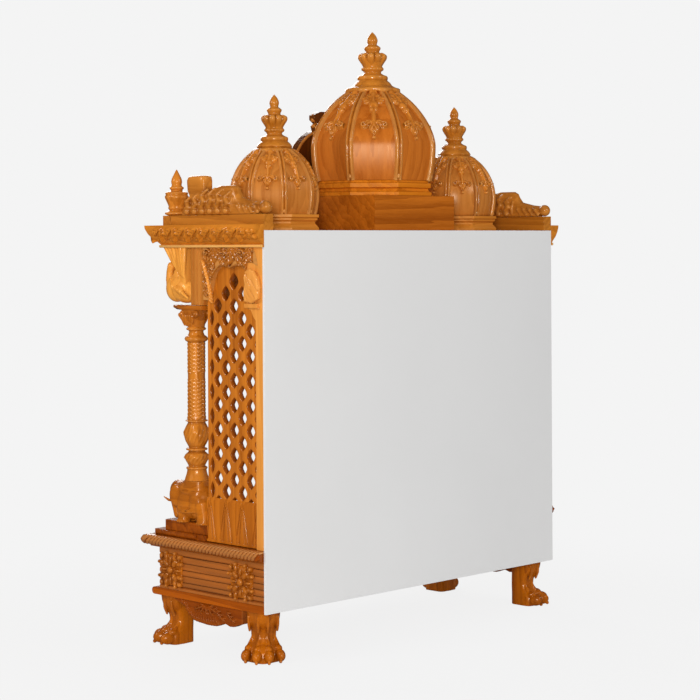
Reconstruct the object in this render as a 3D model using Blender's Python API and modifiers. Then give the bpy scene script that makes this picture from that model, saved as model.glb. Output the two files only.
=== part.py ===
"""Pooja mandir: a carved teak shrine cabinet with three domes, on four lion-paw feet.

Metres, +Z up. The front faces -Y and the pale back panel faces +Y. The origin is on the floor, under the
middle of the whole object. Lengths are laid out from the back plane (Y = 0) and the floor (Z = 0), and
every piece hangs on one empty that carries the whole to its origin.
"""

import math

import bmesh
import bpy
from mathutils import Matrix, Vector

# Carcass
WIDTH = 1.067
DEPTH = 0.3836
GAP = 0.0003
BOARD = 0.022
BACK_THICKNESS = 0.006

# Feet and aprons
FOOT_HEIGHT = 0.120
FOOT_INSET = 0.0768
REAR_FOOT_SETBACK = 0.012
LEG_TOP = 0.0645
LEG_WAIST = 0.052
PAW_SQUARE = 0.0735
TOE_RADIUS = 0.0125
TOE_HEIGHT = 0.034
TOE_LENGTH = 0.019
APRON_DEPTH = 0.052
APRON_THICKNESS = 0.018
APRON_SETBACK = 0.006

# Base box
BASE_HEIGHT = 0.118
BOTTOM_THICKNESS = 0.018
LIP_REACH = 0.030
REED_COUNT = 5
REED_DEPTH = 0.005
REED_MARGIN_LOW = 0.012
REED_MARGIN_HIGH = 0.008
BLOCK_WIDTH = 0.082
FRONT_BLOCK_SETBACK = 0.008
REAR_BLOCK_SETBACK = 0.034
DECK_THICKNESS = 0.030
DECK_OVERHANG = 0.034
ROPE_REACH = 0.018
ROPE_REAR_GAP = 0.009
ROPE_HEIGHT = 0.026

# Steps and what stands on them
LOWER_STEP = 0.014
UPPER_STEP = 0.025
LOWER_STEP_REACH = 0.0204
UPPER_STEP_SETBACK = 0.0116
LOWER_STEP_INSET = 0.003
UPPER_STEP_INSET = 0.010
ELEPHANT_LENGTH = 0.150
ELEPHANT_WIDTH = 0.074
ELEPHANT_HEIGHT = 0.104
ELEPHANT_SETBACK = 0.0926
ELEPHANT_LEG = 0.018
COLUMN_SETBACK = 0.1176
COLUMN_RADIUS = 0.021
CAPITAL_HEIGHT = 0.040
CAPITAL_WIDTH = 0.043
ABACUS_THICKNESS = 0.012
ABACUS_REACH = 0.076
POST_SETBACK = 0.1456
POST_SIZE = 0.045
POST_HEIGHT = 0.146
POST_GROOVE = 0.003
PEACOCK_REACH = 0.087
PEACOCK_THICKNESS = 0.040

# Side walls
SIDE_HEIGHT = 0.715
LATTICE_SETBACK = 0.010
LATTICE_PITCH_Y = 0.0573
LATTICE_ROW = 0.0295
LATTICE_COLUMN_Y = 0.118
LATTICE_TOP_DROP = 0.0868
LATTICE_FOOT = 0.060
HOLE_WIDTH = 0.027
HOLE_HEIGHT = 0.042
STILE_WIDTH = 0.024
STILE_MARGIN = 0.005
LEDGE_DROP = 0.148
LEDGE_REACH = 0.030
BIRD_HEIGHT = 0.080
BIRD_RELIEF = 0.012
SPANDREL_DROP = 0.132
ARCH_DROP = 0.196

# Roof
ROOF_THICKNESS = 0.0336
ROOF_SETBACK = 0.0196
CORNICE_REACH = 0.033
CORNICE_HEIGHT = 0.054
FASCIA_HEIGHT = 0.0384
FASCIA_THICKNESS = 0.030
CREST_WIDTH = 0.232
CREST_HEIGHT = 0.232
CREST_THICKNESS = 0.020
CREST_ORNAMENT_WIDTH = 0.068
CREST_ORNAMENT_HEIGHT = 0.050
LION_LENGTH = 0.294
LION_HEIGHT = 0.094
LION_THICKNESS = 0.030
LION_SETBACK = 0.010
CORNER_FINIAL_HEIGHT = 0.1135
CORNER_FINIAL_RADIUS = 0.0293
CORNER_FINIAL_INSET = 0.024

# Domes
SIDE_DOME_INSET = 0.1985
SIDE_DOME_Y = 0.174
SIDE_DOME_RADIUS = 0.108
SIDE_DOME_HEIGHT = 0.158
SIDE_DOME_WIDEST = 0.050
SIDE_DOME_TOP = 0.054
SIDE_DOME_TURN = -0.148
SIDE_PLINTH_RADIUS = 0.118
SIDE_PLINTH_HEIGHT = 0.0389
SIDE_FINIAL_HEIGHT = 0.138
SIDE_FINIAL_RADIUS = 0.0575
CENTRE_DOME_Y = 0.159
CENTRE_DOME_RADIUS = 0.165
CENTRE_DOME_HEIGHT = 0.235
CENTRE_DOME_WIDEST = 0.089
CENTRE_DOME_TOP = 0.065
PLATFORM_WIDTH = 0.296
PLATFORM_HEIGHT = 0.088
DOME_BASE_HEIGHT = 0.0387
DOME_BASE_RADIUS = 0.160
CENTRE_FINIAL_HEIGHT = 0.1505
CENTRE_FINIAL_RADIUS = 0.0669
RIB_RADIUS = 0.0075
RIBS = 8

# Levels above the floor
half = WIDTH / 2
deck_under = FOOT_HEIGHT + BASE_HEIGHT
deck_top = deck_under + DECK_THICKNESS
lower_step_top = deck_top + LOWER_STEP
upper_step_top = lower_step_top + UPPER_STEP
roof_under = deck_top + SIDE_HEIGHT
roof_top = roof_under + ROOF_THICKNESS
fascia_top = roof_top + FASCIA_HEIGHT
back_face = BACK_THICKNESS + GAP
column_x = half - COLUMN_RADIUS
column_y = DEPTH - COLUMN_SETBACK
elephant_x = half - ELEPHANT_WIDTH / 2 + 0.010
elephant_y = DEPTH - ELEPHANT_SETBACK
elephant_back = upper_step_top + ELEPHANT_HEIGHT
post_y = DEPTH - POST_SETBACK
post_foot = roof_under - POST_HEIGHT
lattice_front = post_y - POST_SIZE / 2
roof_depth = DEPTH - ROOF_SETBACK
foot_front = DEPTH + LIP_REACH

TEAK = (0.62, 0.27, 0.06)
TEAK_LIGHT = (0.72, 0.36, 0.10)
TEAK_DARK = (0.46, 0.17, 0.035)
PANEL_GREY = (0.62, 0.64, 0.66)

for old in list(bpy.data.objects):
    bpy.data.objects.remove(old, do_unlink=True)

pieces = bpy.data.collections.new("pooja_mandir")
cutters = bpy.data.collections.new("cutters")
bpy.context.scene.collection.children.link(pieces)
bpy.context.scene.collection.children.link(cutters)

origin = bpy.data.objects.new("mandir_origin", None)
pieces.objects.link(origin)


def finish(name, colour, roughness=0.35):
    """The varnished wood, or the panel's paint, of one piece."""
    material = bpy.data.materials.new(name)
    material.use_nodes = True
    shader = material.node_tree.nodes["Principled BSDF"]
    shader.inputs["Base Color"].default_value = (*colour, 1.0)
    shader.inputs["Roughness"].default_value = roughness
    shader.inputs["Metallic"].default_value = 0.0
    return material


def add_piece(name, mesh, colour=TEAK, place=(0, 0, 0), turn=(0, 0, 0), smooth=False):
    """A sub-part of the mandir, as its own object under the common empty."""
    mesh.name = name
    piece = bpy.data.objects.new(name, mesh)
    piece.location = place
    piece.rotation_euler = turn
    piece.parent = origin
    pieces.objects.link(piece)
    mesh.materials.clear()
    mesh.materials.append(finish(name, colour))
    if smooth:
        mesh.shade_smooth()
        mesh.set_sharp_from_angle(angle=math.radians(40))
    return piece


def add_helper(name, mesh, place=(0, 0, 0), turn=(0, 0, 0)):
    """A shape that only cuts or joins another piece."""
    helper = bpy.data.objects.new(name, mesh)
    helper.location = place
    helper.rotation_euler = turn
    helper.parent = origin
    helper.hide_render = True
    helper.display_type = "WIRE"
    cutters.objects.link(helper)
    return helper


def combine(piece, helper, operation="UNION"):
    step = piece.modifiers.new(f"{operation.lower()}_{helper.name}", "BOOLEAN")
    step.operation = operation
    step.solver = "EXACT"
    step.object = helper


def block_mesh(low, high):
    """A plain squared board between two corners."""
    low = Vector(low)
    high = Vector(high)
    bm = bmesh.new()
    bmesh.ops.create_cube(bm, size=1)
    bmesh.ops.scale(bm, vec=high - low, verts=bm.verts)
    bmesh.ops.translate(bm, vec=(high + low) / 2, verts=bm.verts)
    mesh = bpy.data.meshes.new("block")
    bm.to_mesh(mesh)
    bm.free()
    return mesh


def ball_mesh(centre, radii, turn_z=0.0, across=10, up=6):
    """A rounded mass of the carving."""
    bm = bmesh.new()
    bmesh.ops.create_uvsphere(bm, u_segments=across, v_segments=up, radius=1)
    bmesh.ops.scale(bm, vec=radii, verts=bm.verts)
    bmesh.ops.rotate(bm, matrix=Matrix.Rotation(turn_z, 3, "Z"), verts=bm.verts)
    bmesh.ops.translate(bm, vec=centre, verts=bm.verts)
    mesh = bpy.data.meshes.new("ball")
    bm.to_mesh(mesh)
    bm.free()
    return mesh


def solid_of_curve(curve_data):
    """The closed mesh of a curve, with its caps welded on."""
    curve = bpy.data.objects.new("curve", curve_data)
    cutters.objects.link(curve)
    graph = bpy.context.evaluated_depsgraph_get()
    mesh = bpy.data.meshes.new_from_object(curve.evaluated_get(graph))
    bpy.data.objects.remove(curve, do_unlink=True)
    bm = bmesh.new()
    bm.from_mesh(mesh)
    bmesh.ops.remove_doubles(bm, verts=bm.verts, dist=0.00002)
    bmesh.ops.recalc_face_normals(bm, faces=bm.faces)
    bm.to_mesh(mesh)
    bm.free()
    return mesh


def outline_mesh(outline, thickness, holes=(), chamfer=0.0):
    """A board sawn to an outline, lying in XY, with its middle at Z = 0."""
    data = bpy.data.curves.new("outline", "CURVE")
    data.dimensions = "2D"
    data.fill_mode = "BOTH"
    data.extrude = thickness / 2 - chamfer
    data.bevel_depth = chamfer
    data.bevel_resolution = 0
    data.offset = -chamfer
    for ring in (outline, *holes):
        spline = data.splines.new("POLY")
        spline.points.add(len(ring) - 1)
        for point, (x, y) in zip(spline.points, ring):
            point.co = (x, y, 0, 1)
        spline.use_cyclic_u = True
    return solid_of_curve(data)


def rod_mesh(points, radii, sides=2):
    """A bent rod through points, with its own radius at each."""
    data = bpy.data.curves.new("rod", "CURVE")
    data.dimensions = "3D"
    data.bevel_depth = 1.0
    data.bevel_resolution = sides
    data.use_fill_caps = True
    spline = data.splines.new("POLY")
    spline.points.add(len(points) - 1)
    for point, place, radius in zip(spline.points, points, radii):
        point.co = (*place, 1)
        point.radius = radius
    return solid_of_curve(data)


def turned(name, profile, segments, place, turn=0.0, smooth=True):
    """A piece turned on the lathe: radius and height pairs from the top down, closed on the axis."""
    bm = bmesh.new()
    points = [(0.0, profile[0][1]), *profile, (0.0, profile[-1][1])]
    verts = [bm.verts.new((radius, 0, height)) for radius, height in points]
    for upper, lower in zip(verts, verts[1:]):
        bm.edges.new((upper, lower))
    mesh = bpy.data.meshes.new(name)
    bm.to_mesh(mesh)
    bm.free()
    piece = add_piece(name, mesh, TEAK, place, (0, 0, turn))
    spin = piece.modifiers.new("turning", "SCREW")
    spin.steps = segments
    spin.render_steps = segments
    spin.use_merge_vertices = True
    spin.merge_threshold = 0.00001
    spin.use_smooth_shade = smooth
    return piece


def swept_mesh(profile, path):
    """A moulding run round corners: the profile's (out, height) points along mitred stations."""
    bm = bmesh.new()
    rings = []
    for corner, outward in path:
        ring = [bm.verts.new((corner[0] + out * outward[0], corner[1] + out * outward[1], height))
                for out, height in profile]
        rings.append(ring)
    count = len(profile)
    for first, second in zip(rings, rings[1:]):
        for k in range(count):
            bm.faces.new((first[k], second[k], second[(k + 1) % count], first[(k + 1) % count]))
    bm.faces.new(rings[0])
    bm.faces.new(rings[-1])
    bmesh.ops.recalc_face_normals(bm, faces=bm.faces)
    mesh = bpy.data.meshes.new("moulding")
    bm.to_mesh(mesh)
    bm.free()
    return mesh


def three_sides(front, rear=0.0):
    """Mitred stations round the left side, the front and the right side."""
    return [
        ((-half, -rear), (-1, 0)),
        ((-half, -front), (-1, -1)),
        ((half, -front), (1, -1)),
        ((half, -rear), (1, 0)),
    ]


def loft_mesh(sections, sides=12):
    """A solid through flat rounded-square sections: height, centre, half sizes, squareness, turn."""
    bm = bmesh.new()
    rings = []
    for height, centre, sizes, squareness, turn in sections:
        ring = []
        for k in range(sides):
            angle = 2 * math.pi * (k + 0.5) / sides
            x = sizes[0] * math.copysign(abs(math.cos(angle)) ** squareness, math.cos(angle))
            y = sizes[1] * math.copysign(abs(math.sin(angle)) ** squareness, math.sin(angle))
            ring.append(bm.verts.new((
                centre[0] + x * math.cos(turn) - y * math.sin(turn),
                centre[1] + x * math.sin(turn) + y * math.cos(turn),
                height,
            )))
        rings.append(ring)
    for first, second in zip(rings, rings[1:]):
        for k in range(sides):
            bm.faces.new((first[k], first[(k + 1) % sides], second[(k + 1) % sides], second[k]))
    bm.faces.new(rings[0])
    bm.faces.new(rings[-1])
    bmesh.ops.recalc_face_normals(bm, faces=bm.faces)
    mesh = bpy.data.meshes.new("loft")
    bm.to_mesh(mesh)
    bm.free()
    return mesh


def mirror_x(points, side):
    """Outline points for the left or the right hand, kept in the same turning order."""
    if side > 0:
        return list(points)
    return [(-x, y) for x, y in reversed(points)]


SIDES = (("right", 1), ("left", -1))
UP_BOARD = (math.pi / 2, 0, 0)
SIDE_BOARD = (math.pi / 2, 0, math.pi / 2)


def make_feet():
    """Lion paws that face the corners. Their inner sides are sawn flat, and four toes stand out."""
    widths = (
        (0.00, PAW_SQUARE, 0.38), (0.22, PAW_SQUARE, 0.38), (0.33, PAW_SQUARE * 0.88, 0.42),
        (0.46, LEG_WAIST, 0.50), (0.66, LEG_WAIST * 1.08, 0.45), (0.83, LEG_TOP, 0.40), (1.00, LEG_TOP, 0.35),
    )
    toes = ((-0.40, -0.48, 0.82), (-0.14, -0.175, 1.12), (0.14, 0.175, 1.12), (0.40, 0.48, 0.82))
    for side_name, sx in SIDES:
        for end_name, sy, corner_y in (("rear", 1, -REAR_FOOT_SETBACK), ("front", -1, -foot_front)):
            heel = Vector((sx * (half - FOOT_INSET), corner_y - sy * FOOT_INSET))
            out = Vector((sx, sy))
            sections = []
            for share, size, squareness in widths:
                middle = heel + out * size / 2
                sections.append((FOOT_HEIGHT * share, middle, (size / 2, size / 2), squareness, 0.0))
            foot = add_piece(f"foot_{end_name}_{side_name}", loft_mesh(sections), TEAK_DARK, smooth=True)
            facing = math.atan2(sy, sx)
            ahead = Vector((math.cos(facing), math.sin(facing)))
            aside = Vector((-ahead.y, ahead.x))
            for k, (spread, across, along) in enumerate(toes):
                middle = heel + (ahead * along + aside * across) * (FOOT_INSET + GAP)
                toe = ball_mesh((middle.x, middle.y, TOE_HEIGHT / 2 + 2 * GAP),
                                (TOE_LENGTH, TOE_RADIUS, TOE_HEIGHT / 2), facing + spread, 8, 6)
                combine(foot, add_helper(f"{foot.name}_toe_{k}", toe))


def apron_outline(length):
    """A side apron's scrolled lower edge, from the front foot to the rear foot."""
    drops = ((0.0, 0.0), (0.0, 0.08), (0.05, 0.15), (0.10, 0.23), (0.17, 0.37), (0.23, 0.62), (0.29, 0.90),
             (0.36, 0.95), (0.50, 1.0), (0.63, 0.98), (0.70, 0.86), (0.76, 0.79), (0.82, 0.88), (0.88, 0.86),
             (0.94, 0.74), (1.0, 0.66), (1.0, 0.0))
    return [((share - 0.5) * length, -drop * APRON_DEPTH) for share, drop in drops]


def front_apron_outline(length):
    """The front apron's lower edge: the side's scroll, mirrored about the middle."""
    scroll = apron_outline(length / 2)[:-1]
    left = [(x - length / 4, z) for x, z in scroll]
    return left[:-1] + [(0.0, left[-1][1])] + [(-x, z) for x, z in reversed(left[:-1])]


def make_aprons():
    """Scrolled boards between the feet, under the two sides and the front."""
    rear = REAR_FOOT_SETBACK + FOOT_INSET + GAP
    front = foot_front - FOOT_INSET - GAP
    level = FOOT_HEIGHT - GAP
    inward = APRON_SETBACK + APRON_THICKNESS / 2
    for side_name, sx in SIDES:
        mesh = outline_mesh(apron_outline(front - rear), APRON_THICKNESS)
        add_piece(f"apron_{side_name}", mesh, TEAK_DARK,
                  (sx * (half - inward), -(front + rear) / 2, level), SIDE_BOARD)
    mesh = outline_mesh(front_apron_outline(WIDTH - 2 * FOOT_INSET - 2 * GAP), APRON_THICKNESS)
    add_piece("apron_front", mesh, TEAK_DARK, (0, inward - foot_front, level), UP_BOARD)


def reeded_mesh(length, height, reed_low, reed_high):
    """A base board with a field of long reeds between two carved blocks, its back in the plane Y = 0."""
    reed = (reed_high - reed_low) / REED_COUNT
    section = [(BOARD - REED_DEPTH, 0), (BOARD, 0.004), (BOARD, reed_low - 0.006),
               (BOARD - REED_DEPTH, reed_low)]
    for k in range(REED_COUNT):
        for step in (1, 2, 3):
            angle = math.pi * step / 4
            low = reed_low + reed * k
            section.append((BOARD - REED_DEPTH + REED_DEPTH * math.sin(angle),
                            low + reed * (1 - math.cos(angle)) / 2))
        section.append((BOARD - REED_DEPTH, reed_low + reed * (k + 1)))
    section += [(BOARD, reed_high + 0.002), (BOARD, height), (0, height), (0, 0)]
    bm = bmesh.new()
    ring = [bm.verts.new((-length / 2, -out, level)) for out, level in section]
    face = bm.faces.new(ring)
    grown = bmesh.ops.extrude_face_region(bm, geom=[face])
    moved = [item for item in grown["geom"] if isinstance(item, bmesh.types.BMVert)]
    bmesh.ops.translate(bm, vec=(length, 0, 0), verts=moved)
    bmesh.ops.recalc_face_normals(bm, faces=bm.faces)
    mesh = bpy.data.meshes.new("reeded")
    bm.to_mesh(mesh)
    bm.free()
    return mesh


def carve_blocks(board, length, middles, reed_low, reed_high, place, turn):
    """Square blocks with a raised rosette, standing over the reeds at the ends of a board."""
    frame = Matrix.Translation(place) @ Matrix.Rotation(turn, 4, "Z")
    size = reed_high - reed_low + 0.003
    for k, middle in enumerate(middles):
        low = Vector((middle - BLOCK_WIDTH / 2, -BOARD - 0.0006, reed_low - 0.0015))
        high = low + Vector((BLOCK_WIDTH, 0.012, size))
        square = block_mesh(low, high)
        square.transform(frame)
        combine(board, add_helper(f"{board.name}_block_{k}", square))
        centre = (middle, -BOARD, (reed_low + reed_high) / 2)
        boss = ball_mesh(centre, (BLOCK_WIDTH * 0.40, 0.006, size * 0.40), 0.0, 8, 6)
        boss.transform(frame)
        combine(board, add_helper(f"{board.name}_rosette_{k}", boss))


def make_base():
    """The base box: reeded front and sides, a bottom board with a rounded front lip, and the deck."""
    nose = BOTTOM_THICKNESS / 2
    lip = foot_front - nose
    outline = [(back_face, 0)]
    outline += [(lip + nose * math.sin(math.pi * k / 6), nose - nose * math.cos(math.pi * k / 6))
                for k in range(7)]
    outline += [(back_face, BOTTOM_THICKNESS)]
    profile = [(-y, z) for y, z in outline]
    bottom = outline_mesh(profile, WIDTH)
    add_piece("base_bottom", bottom, TEAK, (0, 0, FOOT_HEIGHT + GAP), SIDE_BOARD)

    low = FOOT_HEIGHT + BOTTOM_THICKNESS + 2 * GAP
    height = deck_under - low
    reed_low = REED_MARGIN_LOW
    reed_high = height - REED_MARGIN_HIGH
    side_length = DEPTH - back_face
    centre_y = -(DEPTH + back_face) / 2
    front_middle = side_length / 2 - BLOCK_WIDTH / 2 - FRONT_BLOCK_SETBACK
    rear_middle = side_length / 2 - BLOCK_WIDTH / 2 - REAR_BLOCK_SETBACK
    for side_name, sx in SIDES:
        mesh = reeded_mesh(side_length, height, reed_low, reed_high)
        place = (sx * (half - BOARD), centre_y, low)
        turn = sx * math.pi / 2
        board = add_piece(f"base_side_{side_name}", mesh, TEAK, place, (0, 0, turn))
        middles = (-front_middle, rear_middle) if sx > 0 else (-rear_middle, front_middle)
        carve_blocks(board, side_length, middles, reed_low, reed_high, place, turn)
    front_length = WIDTH - 2 * BOARD - 2 * GAP
    place = (0, -DEPTH + BOARD, low)
    mesh = reeded_mesh(front_length, height, reed_low, reed_high)
    board = add_piece("base_front", mesh, TEAK, place)
    end = (front_length - BLOCK_WIDTH - FRONT_BLOCK_SETBACK) / 2
    carve_blocks(board, front_length, (-end, end), reed_low, reed_high, place, 0.0)

    deck_front = DEPTH + DECK_OVERHANG
    deck = block_mesh((-half, -deck_front, deck_under + GAP), (half, -back_face, deck_top))
    add_piece("deck_board", deck)
    middle = deck_top - ROPE_HEIGHT / 2
    rope = [(GAP, deck_top - ROPE_HEIGHT)]
    rope += [(ROPE_REACH * math.sin(math.pi * k / 6), middle - ROPE_HEIGHT / 2 * math.cos(math.pi * k / 6))
             for k in range(1, 6)]
    rope += [(GAP, deck_top)]
    add_piece("rope_moulding", swept_mesh(rope, three_sides(deck_front, ROPE_REAR_GAP)), smooth=True)


def step_outline(front, inset, rear_half):
    """A step's plan: wide under the columns, narrow between the side walls."""
    wide = half - inset
    shoulder = -lattice_front - GAP
    return [(-wide, -front), (wide, -front), (wide, shoulder), (rear_half, shoulder),
            (rear_half, -back_face), (-rear_half, -back_face), (-rear_half, shoulder), (-wide, shoulder)]


def make_steps():
    rear_half = half - LATTICE_SETBACK - BOARD - GAP
    front = DEPTH + LOWER_STEP_REACH
    lower = outline_mesh(step_outline(front, LOWER_STEP_INSET, rear_half), LOWER_STEP - GAP)
    add_piece("step_lower", lower, TEAK_DARK, (0, 0, (deck_top + GAP + lower_step_top) / 2))
    front = DEPTH - UPPER_STEP_SETBACK
    upper = outline_mesh(step_outline(front, UPPER_STEP_INSET, rear_half), UPPER_STEP - GAP)
    add_piece("step_upper", upper, TEAK_DARK, (0, 0, (lower_step_top + GAP + upper_step_top) / 2))


def make_elephants():
    """Elephants that stand on the steps, face the front and carry the columns."""
    for side_name, sx in SIDES:
        x = sx * elephant_x
        back = elephant_back
        floor = upper_step_top + GAP
        reach = ELEPHANT_LENGTH / 2
        breadth = ELEPHANT_WIDTH / 2
        trunk_y = -elephant_y - reach * 0.82
        body_mid = (floor + back) / 2 + 0.004
        body = ball_mesh((x, -elephant_y + reach * 0.14, body_mid),
                         (breadth, reach * 0.85, ELEPHANT_HEIGHT * 0.45), 0, 10, 6)
        elephant = add_piece(f"elephant_{side_name}", body, TEAK_DARK, smooth=True)
        head = ELEPHANT_HEIGHT * 0.30
        parts = [ball_mesh((x, -elephant_y - reach * 0.55, back - head),
                           (breadth * 0.80, reach * 0.40, head), 0, 8, 6)]
        for leg_y in (-elephant_y - reach * 0.46, -elephant_y + reach * 0.64):
            for leg_x in (-1, 1):
                middle = x + leg_x * breadth * 0.58
                parts.append(loft_mesh([
                    (floor, (middle, leg_y), (ELEPHANT_LEG * 0.85, ELEPHANT_LEG), 1.0, 0.0),
                    (floor + 0.010, (middle, leg_y), (ELEPHANT_LEG * 0.75, ELEPHANT_LEG * 0.88), 1.0, 0.0),
                    (body_mid - 0.010, (middle, leg_y), (ELEPHANT_LEG * 0.85, ELEPHANT_LEG), 1.0, 0.0),
                ], 8))
        trunk = [(x, trunk_y, back - 0.034), (x, trunk_y - 0.009, back - 0.058),
                 (x, trunk_y - 0.002, floor + 0.022), (x, trunk_y - 0.008, floor + 0.009)]
        parts.append(rod_mesh(trunk, (0.016, 0.0125, 0.0095, 0.0075), 1))
        for ear in (-1, 1):
            parts.append(ball_mesh((x + ear * breadth * 0.84, -elephant_y - reach * 0.34, back - 0.036),
                                   (0.006, 0.020, 0.026), 0, 6, 4))
            tusk = [(x + ear * 0.011, trunk_y + 0.004, back - 0.040),
                    (x + ear * 0.013, trunk_y - 0.026, back - 0.030)]
            parts.append(rod_mesh(tusk, (0.0035, 0.0012), 0))
        saddle = loft_mesh([
            (back - 0.022, (sx * column_x, -column_y), (0.028, 0.034), 0.8, 0.0),
            (back, (sx * column_x, -column_y), (0.026, 0.031), 0.8, 0.0),
        ])
        parts.append(saddle)
        for k, mesh in enumerate(parts):
            combine(elephant, add_helper(f"{elephant.name}_form_{k}", mesh))


def column_profile(height):
    """Radius and height of the turned column, from the top of its neck down to the elephant's back."""
    shares = (
        (0.98, 1.000), (1.14, 0.982), (1.14, 0.972), (0.84, 0.964), (0.84, 0.945), (1.20, 0.930),
        (1.36, 0.915), (1.00, 0.900), (1.00, 0.400), (1.12, 0.392), (1.12, 0.380), (1.38, 0.330), (1.36, 0.290),
        (0.92, 0.218), (1.22, 0.208), (1.22, 0.192), (0.95, 0.184), (1.32, 0.140), (1.20, 0.098),
        (0.98, 0.086), (1.24, 0.078), (1.24, 0.066), (1.12, 0.058), (1.44, 0.000),
    )
    return [(COLUMN_RADIUS * wide, height * share) for wide, share in shares]


def make_columns():
    """Turned columns with a leaf capital and a pointed abacus that carries the peacock."""
    foot = elephant_back + GAP
    abacus_low = post_foot - ABACUS_THICKNESS
    neck = abacus_low - CAPITAL_HEIGHT
    wide = CAPITAL_WIDTH / 2
    for side_name, sx in SIDES:
        x = sx * column_x
        column = turned(f"column_{side_name}", column_profile(neck - foot + 0.002), 10,
                        (x, -column_y, foot))
        capital = loft_mesh([
            (neck, (x, -column_y), (wide * 0.97, 0.021), 0.9, 0),
            (neck + 0.010, (x, -column_y), (wide * 0.97, 0.022), 0.7, 0),
            (neck + 0.016, (x, -column_y - 0.004), (wide * 0.98, 0.029), 0.5, 0),
            (neck + CAPITAL_HEIGHT, (x, -column_y - 0.006), (wide, 0.034), 0.4, 0),
        ], 12)
        combine(column, add_helper(f"{column.name}_capital", capital))
        heel = column_y - lattice_front
        abacus = outline_mesh([
            (-wide, heel), (-wide, -ABACUS_REACH * 0.7), (0, -ABACUS_REACH), (wide, -ABACUS_REACH * 0.7),
            (wide, heel),
        ], ABACUS_THICKNESS + 0.001)
        lift = abacus_low + ABACUS_THICKNESS / 2 - 0.0005
        combine(column, add_helper(f"{column.name}_abacus", abacus, (x, -column_y, lift)))


def make_posts():
    """Square reeded posts between the capitals and the roof."""
    low = post_foot + GAP
    size = POST_SIZE / 2
    groove = POST_SIZE / 7
    for side_name, sx in SIDES:
        outline = [(-size, -size), (-size, size), (size, size)]
        for k in range(3):
            start = size - groove * (1 + 2 * k)
            outline += [(size, start), (size - POST_GROOVE, start - groove * 0.25),
                        (size - POST_GROOVE, start - groove * 0.75), (size, start - groove)]
        outline.append((size, -size))
        mesh = outline_mesh(mirror_x(outline, sx), roof_under - low - GAP)
        add_piece(f"post_{side_name}", mesh, TEAK,
                  (sx * (half - size), -post_y, (low + roof_under - GAP) / 2))


def make_peacocks():
    """Peacock brackets in front of the posts, with their tails up under the cornice."""
    low = post_foot + GAP
    front = post_y + POST_SIZE / 2 + GAP
    rise = roof_under - low - GAP
    shares = (
        (0.0, 0.0), (0.30, 0.0), (0.60, 0.045), (0.85, 0.15), (0.99, 0.27), (1.0, 0.39),
        (0.93, 0.51), (0.95, 0.63), (0.92, 0.73), (0.80, 0.77), (0.69, 0.72),
        (0.67, 0.82), (0.80, 0.93), (0.90, 1.0), (0.0, 1.0),
    )
    points = [(-PEACOCK_REACH * out, rise * up) for out, up in shares]
    swell = PEACOCK_THICKNESS * 0.35
    for side_name, sx in SIDES:
        x = sx * (half - PEACOCK_THICKNESS / 2)
        mesh = outline_mesh(points, PEACOCK_THICKNESS - 0.004, chamfer=0.006)
        bird = add_piece(f"peacock_{side_name}", mesh, TEAK_LIGHT, (x, -front, low), SIDE_BOARD)
        for wing in (-1, 1):
            centre = (x + wing * swell, -front - PEACOCK_REACH * 0.40, low + rise * 0.30)
            shape = ball_mesh(centre, (PEACOCK_THICKNESS * 0.27, PEACOCK_REACH * 0.30, rise * 0.19), 0, 8, 6)
            combine(bird, add_helper(f"{bird.name}_wing_{wing}", shape))


def hole_outline(centre, width, height, limit):
    """A pointed, round-sided lattice hole, cut short where it meets the front stile."""
    x, y = centre
    quarter = ((0, height / 2), (width / 2, height * 0.10), (width / 2, -height * 0.10))
    right = [(x + dx, y + dy) for dx, dy in quarter]
    left = [(max(x - dx, limit), y - dy) for dx, dy in quarter]
    return right + left


def lattice_holes(top):
    """Staggered rows of holes under an arched head."""
    holes = []
    first = top - LATTICE_TOP_DROP
    limit = -lattice_front + STILE_MARGIN
    bottom = upper_step_top + LATTICE_FOOT
    row = 0
    while first - LATTICE_ROW * row > bottom:
        level = first - LATTICE_ROW * row
        if row % 2 == 0:
            columns = [0] if row == 0 else [-1, 0] if row == 2 else [-1, 0, 1]
            offset = 0.0
        else:
            columns = [-1, 0] if row == 1 else [-2, -1, 0] if row == 3 else [-2, -1, 0, 1]
            offset = 0.5
        grow = 1.15 if row == 0 else 1.0
        for column in columns:
            centre = (-LATTICE_COLUMN_Y + LATTICE_PITCH_Y * (column + offset), level)
            holes.append(hole_outline(centre, HOLE_WIDTH * grow, HOLE_HEIGHT * grow, limit))
        row += 1
    return holes


def make_lattices():
    """Side walls pierced as a lattice, set back behind the stiles and the carved head."""
    low = deck_top + GAP
    high = roof_under - GAP
    rear = -back_face
    front = -lattice_front + GAP
    outline = [(front, low), (rear, low), (rear, high), (front, high)]
    for side_name, sx in SIDES:
        mesh = outline_mesh(outline, BOARD, lattice_holes(high))
        add_piece(f"lattice_{side_name}", mesh, TEAK,
                  (sx * (half - LATTICE_SETBACK - BOARD / 2), 0, 0), SIDE_BOARD)


def head_edge(high):
    """The line where the carved head ends and the rear stile begins, from the top down."""
    steps = ((0.046, 0.0), (0.037, 0.010), (0.030, 0.022), (0.025, 0.038), (0.0235, 0.049),
             (0.044, 0.041), (0.058, 0.041), (0.0605, 0.062))
    return [(-back, high - drop) for back, drop in steps]


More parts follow.
